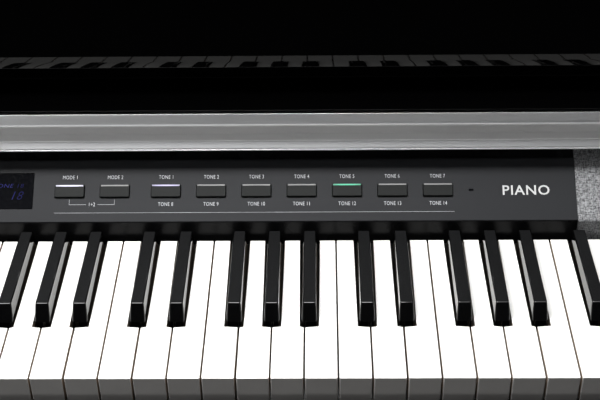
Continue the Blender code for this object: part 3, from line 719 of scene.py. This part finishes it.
def make_buttons():
    """Caps with a light guide along the top edge. Three are lit: white, violet and green."""
    half_x, half_y = BUTTON[0] / 2, BUTTON[1] / 2
    lit = {"mode_button_1": "guide_white", "voice_button_1": "guide_violet", "voice_button_5": "guide_green"}
    for node in BUTTONS:
        at = on_panel(node)
        place = panel_place(at.x, at.y)
        plan = rectangle(-half_x, -half_y, half_x, half_y, 0.0008)
        shape = prism(plan, -BUTTON_DEPTH, BUTTON_PROUD, 0.00045)
        long_edges = [edge for edge in shape.edges if edge.calc_length() > 0.018]
        bmesh.ops.subdivide_edges(shape, edges=long_edges, cuts=3)
        for point in shape.verts:
            if point.co.z > BUTTON_PROUD - 0.0005 and abs(point.co.y) < half_y - 0.0012:
                point.co.z -= 0.0002
        piece(node + "_cap", shape, node, "button_grey", replaces=[node], place=place)
        guide = prism(rectangle(-half_x + 0.0006, half_y - 0.0014, half_x - 0.0006, half_y - 0.00025, 0.0003),
                      BUTTON_PROUD - 0.0009, BUTTON_PROUD + 0.00022, 0.00018, 2)
        piece(node + "_light", guide, node, lit.get(node, "guide_off"), place=place)


def make_power_and_volume():
    """Round power button with the usual power symbol, and a fluted volume knob."""
    place = panel_place(on_panel("power_button").x, ROW)
    cap = turned([(0.0070, -0.006), (0.0070, 0.0014), (0.00685, 0.00165), (0.0066, 0.0018), (0.0058, 0.0018),
                  (0.0040, 0.0015), (0.0015, 0.0014), (0.0003, 0.0014)])
    piece("power_button_cap", cap, "power_button", "button_grey", replaces=["power_button"], place=place)
    turns = [radians(125.0 + 290.0 * i / 30) for i in range(31)]
    arc = [(r * cos(turn), r * sin(turn)) for r, row in ((0.0027, turns), (0.0022, turns[::-1]))
           for turn in row]
    symbol = bmesh.new()
    for outline in (arc, rectangle(-0.00025, 0.0006, 0.00025, 0.0033)):
        prism(outline, 0.00145, 0.00185, shape=symbol)
    piece("power_symbol", symbol, "power_button", "legend_ink", place=place)

    place = panel_place(on_panel("volume_knob").x, ROW)
    profile = [(0.0030, -0.0118), (0.0030, 0.0004), (0.0112, 0.0004), (0.0115, 0.0007, 0.4),
               (0.0114, 0.0014, 1.0), (0.0107, 0.0104, 1.0), (0.0104, 0.0112, 0.4), (0.0098, 0.0118),
               (0.0090, 0.0120), (0.0078, 0.0116), (0.0003, 0.0113)]
    piece("volume_knob_cap", turned(profile, 144, flutes=36, depth=0.00028), "volume_knob", "button_grey",
          replaces=["volume_knob"], place=place, sharp=50.0)
    pointer = prism(rectangle(-0.00035, 0.0040, 0.00035, 0.0086, 0.0002), 0.0112, 0.01205, 0.0001)
    piece("volume_pointer", pointer, "volume_knob", "mark_ink", place=place)


def add_text(shape, words, x, y, height, squeeze=0.74, lift=0.00004, weight=-0.00003, slant=0.0):
    """Add words to a shape as thin solid letters, centred on a place."""
    curve = bpy.data.curves.new("words", 'FONT')
    curve.body, curve.align_x, curve.align_y = words, 'CENTER', 'CENTER'
    curve.size, curve.resolution_u, curve.offset, curve.shear = height / CAPITAL_SHARE, 3, weight, slant
    curve.space_character, curve.extrude = 1.10, 0.00003
    holder = add_object("words", curve)
    bpy.context.view_layer.update()
    mesh = bpy.data.meshes.new_from_object(holder)
    mesh.transform(Matrix.Translation((x, y, lift)) @ Matrix.Diagonal((squeeze, 1.0, 1.0, 1.0)))
    shape.from_mesh(mesh)
    bpy.data.objects.remove(holder)
    bpy.data.meshes.remove(mesh)


def make_legends():
    """Printed labels, the line under the buttons, the bracket, the scale round the knob, and a plain mark."""
    ink = bmesh.new()
    tall, above, below, stem, line = 0.0030, ROW + 0.0114, ROW - 0.0107, ROW - 0.0066, 0.00009

    def print_shape(outline):
        prism(outline, INK_LOW, INK_HIGH, shape=ink)

    labels = {"mode_button_1": "MODE 1", "mode_button_2": "MODE 2", "value_down_button": "-",
              "value_up_button": "+", "power_button": "POWER"}
    for i in range(7):
        labels[f"voice_button_{i + 1}"] = f"TONE {i + 1}"
        add_text(ink, f"TONE {i + 8}", on_panel(f"voice_button_{i + 1}").x, below, tall)
    for node, words in labels.items():
        add_text(ink, words, on_panel(node).x, above, tall)
    left, right, foot = on_panel("mode_button_1").x, on_panel("mode_button_2").x, 0.0045
    middle, end = (left + right) / 2, on_panel("voice_button_7").x + BUTTON[0] / 2 + 0.0009
    for x in (left, right):
        print_shape(rectangle(x - line, below, x + line, stem))
    for x0, x1, y in ((left, middle - foot, below), (middle + foot, right, below),
                      (left - BUTTON[0] / 2, end, UNDERLINE_Y)):
        print_shape(rectangle(x0, y - line, x1, y + line))
    add_text(ink, "1+2", middle, below, tall)
    knob = Vector((on_panel("volume_knob").x, ROW))
    for i in range(11):
        turn = radians(230.0 - 28.0 * i)
        across, out = heading(turn + pi / 2) * 0.00018, heading(turn)
        print_shape([tuple(knob + out * r + across * s) for r, s in ((0.0128, -1), (0.0146, -1), (0.0146, 1),
                                                                      (0.0128, 1))])
    add_text(ink, "0", knob.x - 0.0125, knob.y - 0.0135, tall)
    add_text(ink, "10", knob.x + 0.0130, knob.y - 0.0135, tall)
    add_text(ink, "VOLUME", knob.x, 0.0440, tall)
    piece("panel_legends", ink, "cabinet", "legend_ink", place=PANEL, weighted=False)
    mark = bmesh.new()
    add_text(mark, "PIANO", MARK_X, ROW - 0.0008, 0.0076, 1.06, weight=0.00012)
    piece("panel_mark", mark, "cabinet", "mark_ink", place=PANEL, weighted=False)
    lens = prism(rectangle(LED_X - 0.0018, ROW - 0.0007, LED_X + 0.0018, ROW + 0.0007, 0.0006),
                 -0.0010, 0.0001, 0.0001, 2)
    piece("status_light", lens, "cabinet", "display_glass", place=PANEL)


def make_display():
    """A dark window set just below the film, with dim figures on it."""
    at = on_panel("display_window")
    place = panel_place(at.x, at.y)
    x, y = DISPLAY[0] / 2, DISPLAY[1] / 2
    glass = prism(rectangle(-x, -y, x, y, 0.0007), -SHEET_METAL, -0.00015, 0.0002)
    piece("display_pane", glass, "cabinet", "display_glass", replaces=["display_window"], place=place)
    figures = bmesh.new()
    for words, x, y, height, squeeze, weight, slant in (
            ("18", 0.0095, -0.0040, 0.0070, 0.95, -0.00012, 0.35),
            ("TONE 18", 0.0030, 0.0042, 0.0032, 1.25, -0.00006, 0.2),
            ("120", -0.0130, -0.0040, 0.0070, 0.95, -0.00012, 0.35)):
        add_text(figures, words, x, y, height, squeeze, -0.00013, weight, slant)
    piece("display_figures", figures, "cabinet", "display_digits", place=place,
          weighted=False)


# ---- grilles

def cloth_line(sample):
    """(y, z, outward y, outward z) at even steps round the outside of the grille, in the KEYS frame."""
    inset, radius = 0.0002, 0.0030
    along, edge = heading(SLOPE), Vector((LIP_Y + inset, EDGE_Z - inset * BEND_SHARE))
    half = (pi / 2 + SLOPE) / 2
    reach = radius / tan(half)
    foot, top = Vector((edge.x, LIP_BOTTOM + 0.0002)), edge + along * (SLOPE_LENGTH - 0.0004)
    straight, arc = edge.y - reach - foot.y, radius * (pi - 2 * half)
    rest = (top - edge).length - reach
    centre = Vector((edge.x + radius, edge.y - reach))
    points = []
    for j in range(int((straight + arc + rest) / sample) + 1):
        s = j * sample
        if s < straight:
            points.append((foot.x, foot.y + s, -1.0, 0.0))
        elif s < straight + arc:
            turn = pi - (s - straight) / radius
            out_y, out_z = cos(turn), sin(turn)
            points.append((centre.x + radius * out_y, centre.y + radius * out_z, out_y, out_z))
        else:
            at = edge + along * (reach + s - straight - arc)
            points.append((at.x, at.y, -sin(SLOPE), cos(SLOPE)))
    return points


def make_grilles():
    """Woven cloth stretched over a frame at both ends of the panel."""
    pitch, sample, weave, slack = 0.00150, 0.00075, 0.00010, 0.00004
    line = cloth_line(sample)
    for side in ("left", "right"):
        low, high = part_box(f"{side}_speaker_grille")
        baffle = beam(panel_section(0.0022, 0.0012), low.x + 0.0004, high.x - 0.0004, 0.0003)
        piece(f"{side}_grille_frame", baffle, "cabinet", "panel_moulding")
        columns = int((high.x - low.x) / sample)
        shape, rows = bmesh.new(), []
        for j, (y, z, out_y, out_z) in enumerate(line):
            row = []
            for i in range(columns + 1):
                x = low.x + (high.x - low.x) * i / columns
                u, v = x / pitch, j * sample / pitch
                over = sin(pi * u) * sin(pi * v)
                lift = weave * over + slack * sin(0.37 * u + 1.3 * sin(0.21 * v))
                row.append(shape.verts.new((x, KEYS.y + y + out_y * lift, KEYS.z + z + out_z * lift)))
            rows.append(row)
        for near, far in zip(rows, rows[1:]):
            for i in range(columns):
                shape.faces.new((near[i], near[i + 1], far[i + 1], far[i]))
        cloth = piece(f"{side}_grille_cloth", shape, "cabinet", "speaker_cloth",
                      replaces=[f"{side}_speaker_grille"], sharp=180.0, weighted=False)
        back = cloth.modifiers.new("thickness", 'SOLIDIFY')
        back.thickness, back.offset = 0.0004, -1.0


# ---- cover, upper panel, case

def make_handle():
    """The aluminium handle: flat top face, scooped grip, lower lip and a bead."""
    outline = [(0.1925, 0.0886), (0.1906, 0.0898), (0.1888, 0.0832), (0.1876, 0.0812), (0.1876, 0.0798),
               (0.1897, 0.0727), (0.1904, 0.0651), (0.1866, 0.0606), (0.1875, 0.0600), (0.1864, 0.0592),
               (0.1870, 0.0582), (0.2040, 0.0582), (0.2040, 0.0830), (0.1925, 0.0830)]
    radii = [0.0003, 0.0002, 0.0015, 0.0008, 0.0010, 0.0060, 0.0005, 0.0005, 0.0002, 0.0005, 0.0004,
             0.0, 0.0, 0.0]
    low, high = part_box("cover_handle")
    shape = beam(fillet(outline, radii, 5), low.x, high.x, 0.0003)
    piece("handle_rail", shape, "key_cover", "brushed_aluminium", replaces=["cover_handle"], sharp=28.0)


def make_upper_panel():
    """The polished panel above the cover slot, with a smooth roll under its nose."""
    start, lean, bend = Vector((0.2060, 0.1332)), radians(4.0), 0.1200
    point, rolled = start, []
    for radius, begin, end in ((bend, 0.0, 3.1), (0.0265, 3.1, 17.0), (0.1000, 17.0, 23.1),
                               (0.0120, 23.1, 78.0)):
        centre = point + radius * heading(radians(begin))
        steps = max(4, int((end - begin) / 0.5))
        for i in range(1, steps + 1):
            rolled.append(centre + radius * heading(radians(180.0 + begin + (end - begin) * i / steps)))
        point = rolled[-1]
    centre = start + Vector((bend, 0.0))
    above = [centre + bend * heading(pi - lean * (1 - i / 8)) for i in range(9)]
    low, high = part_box("upper_panel")
    top, back = high.z - KEYS.z, high.y - KEYS.y
    top_y = above[0].x + (top - above[0].y) * tan(lean)
    outline = [(back, top), (top_y, top)] + [tuple(p) for p in above + rolled] + [(back, rolled[-1].y)]
    piece("upper_fascia", beam(outline, low.x, high.x, 0.0002), "cabinet", "gloss_black",
          replaces=["upper_panel"], sharp=35.0)


def make_boards():
    """Boards that are plain boxes in the CAD, with smoothly rounded edges."""
    for node, radius in (("top_board", 0.0030), ("key_slip", 0.0025), ("left_key_block", 0.0018),
                         ("right_key_block", 0.0018)):
        shape = box_shape(*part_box(node), radius, 5)
        piece(node + "_board", shape, "cabinet", "case_black", replaces=[node])


# ---- rest, pedals, stand and rear

def add_screws(name, body, places, facing, radius, height):
    """Domed screw heads with cross recesses, in one piece."""
    heads, crosses = bmesh.new(), bmesh.new()
    dome = [(radius, -0.0006), (radius, 0.15 * height), (0.86 * radius, 0.62 * height),
            (0.55 * radius, 0.92 * height), (0.0002, height)]
    arm, wing = 0.5 * radius, 0.11 * radius
    outline = [tuple(Matrix.Rotation(turn * pi / 2, 2) @ Vector(corner)) for turn in range(4)
               for corner in ((arm, -wing), (arm, wing), (wing, wing))]
    for spot in places:
        place = Matrix.Translation(spot) @ facing
        turned(dome, 28, heads, place)
        cross = prism(outline, 0.2 * height, 2 * height)
        cross.transform(place)
        copy_into(crosses, cross)
    cut(piece(name, heads, body, "zinc_steel"), crosses)


def make_music_rest():
    """The raised rest: an eased board with a ledge, rubber strips on the ledge, and two leaf hinges."""
    hinge, raised = KEYS + Vector((0.0, 0.2400, 0.2205)), radians(72.0)
    place = Matrix.Translation(hinge) @ Matrix.Rotation(raised, 4, 'X')
    half, height, skin, ledge, shelf = 0.330, 0.172, 0.005, 0.022, 0.0062
    outline = [(0.0, -skin), (height, -skin), (height, skin), (shelf, skin), (shelf, ledge), (0.0, ledge)]
    outline = fillet(outline, [0.0012, 0.0040, 0.0040, 0.0018, 0.0014, 0.0014], 5)
    board = beam(outline, -half, half, 0.0006, origin=Vector())
    board.transform(place)
    made = piece("music_rest_board", board, "music_rest", "gloss_black", replaces=["music_rest"], sharp=40.0)
    hinges, leaf, gap, eye, free = (-0.235, 0.235), 0.024, 0.0002, 0.0081, 0.0085
    pockets = bmesh.new()
    for x in hinges:
        box_shape((x - 0.0250, -0.0020, -0.0070), (x + 0.0250, 0.0042, 0.0036), shape=pockets)
    pockets.transform(place)
    cut(made, pockets)
    strips = bmesh.new()
    for low, high in ((-0.300, -0.110), (0.110, 0.300)):
        box_shape((low, 0.0058, 0.0068), (high, 0.0074, 0.0196), 0.0005, 2, strips)
    piece("music_rest_strips", strips, "music_rest", "rubber", place=place)

    def add_knuckle(shape, near, far):
        turned([(0.0026, near), (0.0030, near + 0.0004), (0.0030, far - 0.0004), (0.0026, far)], 24, shape,
               Matrix.Rotation(pi / 2, 4, 'Y'))

    moving, fixed, top = bmesh.new(), bmesh.new(), TOP_BOARD - hinge.z
    for x in hinges:
        box_shape((x - leaf, 0.0030, -skin - 0.0008), (x + leaf, 0.0270, -skin + 0.0004), 0.0003, 2, moving)
        for near, far in ((x - leaf, x - free), (x + free, x + leaf)):
            add_knuckle(moving, near, far)
            box_shape((near + gap, -0.0006, -0.0057), (far - gap, 0.0034, -0.0020), 0.0002, 1, moving)
        add_knuckle(fixed, x - eye, x + eye)
        box_shape((x - 0.0078, -0.0012, top + gap), (x + 0.0078, 0.0012, -0.0016), 0.0002, 1, fixed)
        box_shape((x - leaf, -0.0080, top - gap), (x + leaf, 0.0030, top + 0.0010), 0.0003, 2, fixed)
    piece("music_rest_hinges", moving, "music_rest", "zinc_steel", place=place)
    spots = [place @ Vector((x + side, 0.0185, -skin - 0.0008)) for x in hinges
             for side in (-0.0165, 0.0, 0.0165)]
    facing = Matrix.Rotation(raised + pi, 4, 'X')
    add_screws("music_rest_screws", "music_rest", spots, facing, 0.0026, 0.0006)
    piece("music_rest_knuckles", fixed, "cabinet", "zinc_steel",
          place=Matrix.Translation(hinge))


def make_pedals():
    """Cast brass pedals with a domed, flared foot plate, and the felt frames they pass through."""
    spacing, neck, toe, toe_y = 0.085, 0.0095, 0.0130, -0.192
    flare = [(neck + (toe - neck) * share * share * (3 - 2 * share), -0.118 - 0.040 * share)
             for share in (k / 12 for k in range(13))]
    round_toe = [(-toe * cos(turn), toe_y + toe * sin(turn))
                 for turn in (radians(-180.0 * k / 28) for k in range(1, 28))]
    plan = [(neck, 0.010), (-neck, 0.010)] + [(-x, y) for x, y in flare] + round_toe + flare[::-1]
    rings = []
    for inset, level in ((0.0022, -0.0040), (0.0012, -0.0037), (0.0004, -0.0030), (0.0, -0.0018),
                         (0.0, 0.0006), (0.0005, 0.0018), (0.0015, 0.0027), (0.0030, 0.0034),
                         (0.0048, 0.0038), (0.0068, 0.0040)):
        ring, shrink = [], 1.0 - inset / toe
        for x, y in plan:
            if y < toe_y:
                ring.append((x * shrink, toe_y + (y - toe_y) * shrink, level))
            else:
                ring.append((x * (1.0 - inset / abs(x)), y - inset if y > 0.0 else y, level))
        rings.append(ring)
    frames, front = bmesh.new(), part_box("pedal_box")[0].y
    for node, x in (("left_pedal", -spacing), ("middle_pedal", 0.0), ("right_pedal", spacing)):
        shape = bmesh.new()
        rings_to_solid(shape, rings)
        piece(node + "_cast", shape, node, "pedal_brass", replaces=[node], sharp=40.0,
              place=Matrix.Translation((x, 0.160, 0.088)))
        for x0, z0, x1, z1 in ((-0.0158, 0.0702, -0.0144, 0.0978), (0.0144, 0.0702, 0.0158, 0.0978),
                               (-0.0146, 0.0702, 0.0146, 0.0712), (-0.0146, 0.0966, 0.0146, 0.0978)):
            box_shape((x + x0, front + 0.0004, z0), (x + x1, front + 0.0146, z1), 0.0003, 1, frames)
    piece("pedal_slot_felts", frames, "cabinet", "felt")


def make_adjuster():
    """The ribbed rubber foot under the pedal box, and its thread."""
    low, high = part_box("pedal_box_adjuster")
    place = Matrix.Translation(((low.x + high.x) / 2, (low.y + high.y) / 2, 0.0))
    profile = [(0.0118, 0.0), (0.0146, 0.0004), (0.0154, 0.0014, 1.0), (0.0159, 0.0026, 1.0),
               (0.0159, 0.0122, 1.0), (0.0152, 0.0136, 1.0), (0.0140, 0.0143, 0.2), (0.0118, 0.0156),
               (0.0112, 0.0186), (0.0098, 0.0200), (0.0040, 0.0201)]
    piece("adjuster_grip", turned(profile, 120, flutes=24, depth=0.0007), "pedal_box_adjuster", "rubber",
          replaces=["pedal_box_adjuster"], place=place)
    root, crest, z = 0.0058, 0.0069, 0.0198
    thread = [(root, 0.0195)]
    while z < 0.0488:
        thread += [(root, z), (crest, z + 0.0007), (root, z + 0.0014)]
        z += 0.0015
    piece("adjuster_thread", turned(thread + [(root, 0.0497)], 40), "pedal_box_adjuster", "zinc_steel",
          place=place)


def make_stand():
    """Feet with rounded tops on rubber pads, and caps over the joint screws of the leg panels."""
    for side, sign in (("left", -1), ("right", 1)):
        low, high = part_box(f"{side}_foot")
        outline = fillet([(low.y, 0.0020), (high.y, 0.0020), (high.y, high.z), (low.y, high.z)],
                         [0.0030, 0.0030, 0.0040, 0.030], 12)
        foot = beam(outline, low.x, high.x, 0.0022, 4, Vector())
        piece(f"{side}_foot_block", foot, "cabinet", "case_black", replaces=[f"{side}_foot"])
        pads, caps = bmesh.new(), bmesh.new()
        for y in (low.y + 0.030, high.y - 0.030):
            turned([(0.0125, 0.0), (0.0135, 0.0004), (0.0138, 0.0022)], 40, pads,
                   Matrix.Translation(((low.x + high.x) / 2, y, 0.0)))
        piece(f"{side}_foot_pads", pads, "cabinet", "rubber")
        leg_low, leg_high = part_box(f"{side}_leg_panel")
        outer, facing = (leg_high if sign > 0 else leg_low).x, Matrix.Rotation(sign * pi / 2, 4, 'Y')
        dome = [(0.0062, -0.0004), (0.0062, 0.0002), (0.0056, 0.0006), (0.0036, 0.0008), (0.0002, 0.0008)]
        for y, z in ((0.188, 0.590), (0.188, 0.190), (0.090, 0.100), (0.155, 0.100), (0.060, 0.600)):
            turned(dome, 36, caps, Matrix.Translation((outer, y, z)) @ facing)
        piece(f"{side}_screw_caps", caps, "cabinet", "rubber")


def make_rear():
    """Hardboard rear panel with its screws, and the inlet with its two pins."""
    low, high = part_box("rear_panel")
    inlet_low, inlet_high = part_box("power_inlet")
    face, play, rearward = high.y - 0.0007, 0.0003, Matrix.Rotation(-pi / 2, 4, 'X')
    sheet = box_shape(low, (high.x, face, high.z), 0.0006)
    made = piece("rear_sheet", sheet, "cabinet", "hardboard", replaces=["rear_panel"])
    cut(made, box_shape((inlet_low.x - play, low.y - 0.01, inlet_low.z - play),
                        (inlet_high.x + play, high.y + 0.01, inlet_high.z + play)))
    spots = [(x, face, z) for z in (low.z + 0.010, high.z - 0.010)
             for x in (-0.640, -0.430, -0.215, 0.0, 0.215, 0.430, 0.640)]
    spots += [(x, face, (low.z + high.z) / 2) for x in (-0.644, 0.644)]
    add_screws("rear_screws", "cabinet", spots, rearward, 0.0042, 0.0006)
    pins, middle = bmesh.new(), (inlet_low + inlet_high) / 2
    for x in (-0.0043, 0.0043):
        turned([(0.0012, -0.0002), (0.0012, 0.0098), (0.0009, 0.0106), (0.0002, 0.0109)], 20, pins,
               Matrix.Translation((middle.x + x, inlet_low.y + 0.0040, middle.z)) @ rearward)
    piece("inlet_pins", pins, "cabinet", "zinc_steel")


ROW = on_panel("voice_button_1").y

make_keys()
make_panel()
make_buttons()
make_power_and_volume()
make_legends()
make_display()
make_grilles()
make_handle()
make_upper_panel()
make_music_rest()
make_pedals()
make_adjuster()
make_stand()
make_boards()
make_rear()

SLOTS = {row["node"]: row["material_slot"] for row in frame["record"]["subparts"]}
for name, kept in NODES.items():
    kept.data.materials.clear()
    kept.data.materials.append(FINISHES[SLOTS[name]])
for name, width in (("power_inlet", 0.0007), ("left_side_panel", 0.0012), ("right_side_panel", 0.0012),
                    ("left_leg_panel", 0.0012), ("right_leg_panel", 0.0012), ("back_board", 0.0010),
                    ("pedal_box", 0.0015), ("key_bed", 0.0010), ("key_cover", 0.0004)):
    soften(name, width)


# ---- stage

def make_stage():
    """A pale round floor. It glows a little, but neither lights the object nor shows in its gloss."""
    mesh = mesh_of(turned([(7.0, -0.02), (7.0, 0.0)], 96), "floor")
    made = Finish("floor_paint")
    pale = made.blend(made.noise(1.6, 4.0), (0.60, 0.60, 0.59), (0.66, 0.66, 0.65))
    made.put(Base_Color=pale, Emission_Color=pale, Emission_Strength=0.55, Roughness=0.85,
             Normal=made.bump(made.noise(220.0), 0.0002, 0.3))
    mesh.materials.append(made.material)
    ground = add_object("floor", mesh)
    ground.visible_glossy = ground.visible_diffuse = False


def make_lights():
    """A softbox over the keys, strips in front, high and low, and fills behind and beside."""
    for name, place, aim, size, energy, spread in (
            ("key_softbox", (-0.16, -0.02, 2.00), (-0.08, -0.10, 0.73), (1.1, 0.46), 33.0, 180.0),
            ("right_softbox", (0.76, -0.02, 2.00), (0.40, -0.10, 0.73), (0.7, 0.46), 5.0, 180.0),
            ("high_strip", (0.05, -0.66, 2.02), (0.1, 0.0, 0.78), (2.0, 0.10), 1.9, 180.0),
            ("high_left_strip", (-1.00, -1.10, 1.75), (0.0, 0.0, 0.79), (0.7, 0.16), 1.6, 180.0),
            ("low_strip", (-0.95, -1.75, 0.60), (0.0, 0.0, 0.80), (1.0, 0.12), 2.4, 180.0),
            ("low_wide_strip", (0.50, -1.75, 0.66), (0.2, 0.0, 0.80), (2.0, 0.12), 0.75, 180.0),
            ("rear_fill", (1.6, 2.6, 2.0), (0.0, 0.0, 0.5), (1.6, 1.2), 34.0, 70.0),
            ("side_fill", (-2.6, 1.2, 1.6), (0.0, 0.0, 0.5), (1.2, 1.2), 22.0, 70.0)):
        light = bpy.data.lights.new(name, 'AREA')
        light.shape, light.size, light.size_y = 'RECTANGLE', *size
        light.energy, light.spread = energy, radians(spread)
        lamp = add_object(name, light)
        back = (Vector(place) - Vector(aim)).normalized()
        across = Vector((1.0, 0.0, 0.0))
        across = (across - across.dot(back) * back).normalized()
        lamp.matrix_world = axes_at(place, across, back.cross(across), back)
        lamp.visible_camera = False


def make_world():
    """Grey-white surroundings: bright to the camera, and a faint fill on the object."""
    bpy.context.scene.world = world = bpy.data.worlds.new("studio")
    world.use_nodes = True
    tree = world.node_tree
    backdrop = tree.nodes["Background"]
    backdrop.inputs["Color"].default_value = (0.94, 0.96, 1.0, 1.0)
    seen = tree.nodes.new("ShaderNodeLightPath").outputs["Is Camera Ray"]
    level = tree.nodes.new("ShaderNodeMapRange")
    level.inputs["To Min"].default_value, level.inputs["To Max"].default_value = 0.035, 0.62
    tree.links.new(seen, level.inputs["Value"])
    tree.links.new(level.outputs["Result"], backdrop.inputs["Strength"])


def axes_at(place, x, y, z):
    """A matrix at a place with the given axes."""
    return Matrix.Translation(place) @ Matrix((x, y, z)).transposed().to_4x4()


def make_camera():
    """The photograph's camera, solved from the grid of the keys."""
    pitch, yaw, roll = radians(37.059), radians(-1.170), radians(-0.958)
    forward = Vector((sin(yaw) * cos(pitch), cos(yaw) * cos(pitch), -sin(pitch)))
    level = Vector((cos(yaw), -sin(yaw), 0.0))
    right = cos(roll) * level + sin(roll) * level.cross(forward)
    camera = add_object("camera", bpy.data.cameras.new("camera"))
    camera.data.lens, camera.data.sensor_width = 75.86, 36.0
    camera.matrix_world = axes_at((0.24677, -0.79686, 1.34391), right, right.cross(forward), -forward)
    bpy.context.scene.camera = camera


make_stage()
make_lights()
make_world()
make_camera()
bpy.context.scene.view_settings.view_transform = 'Standard'
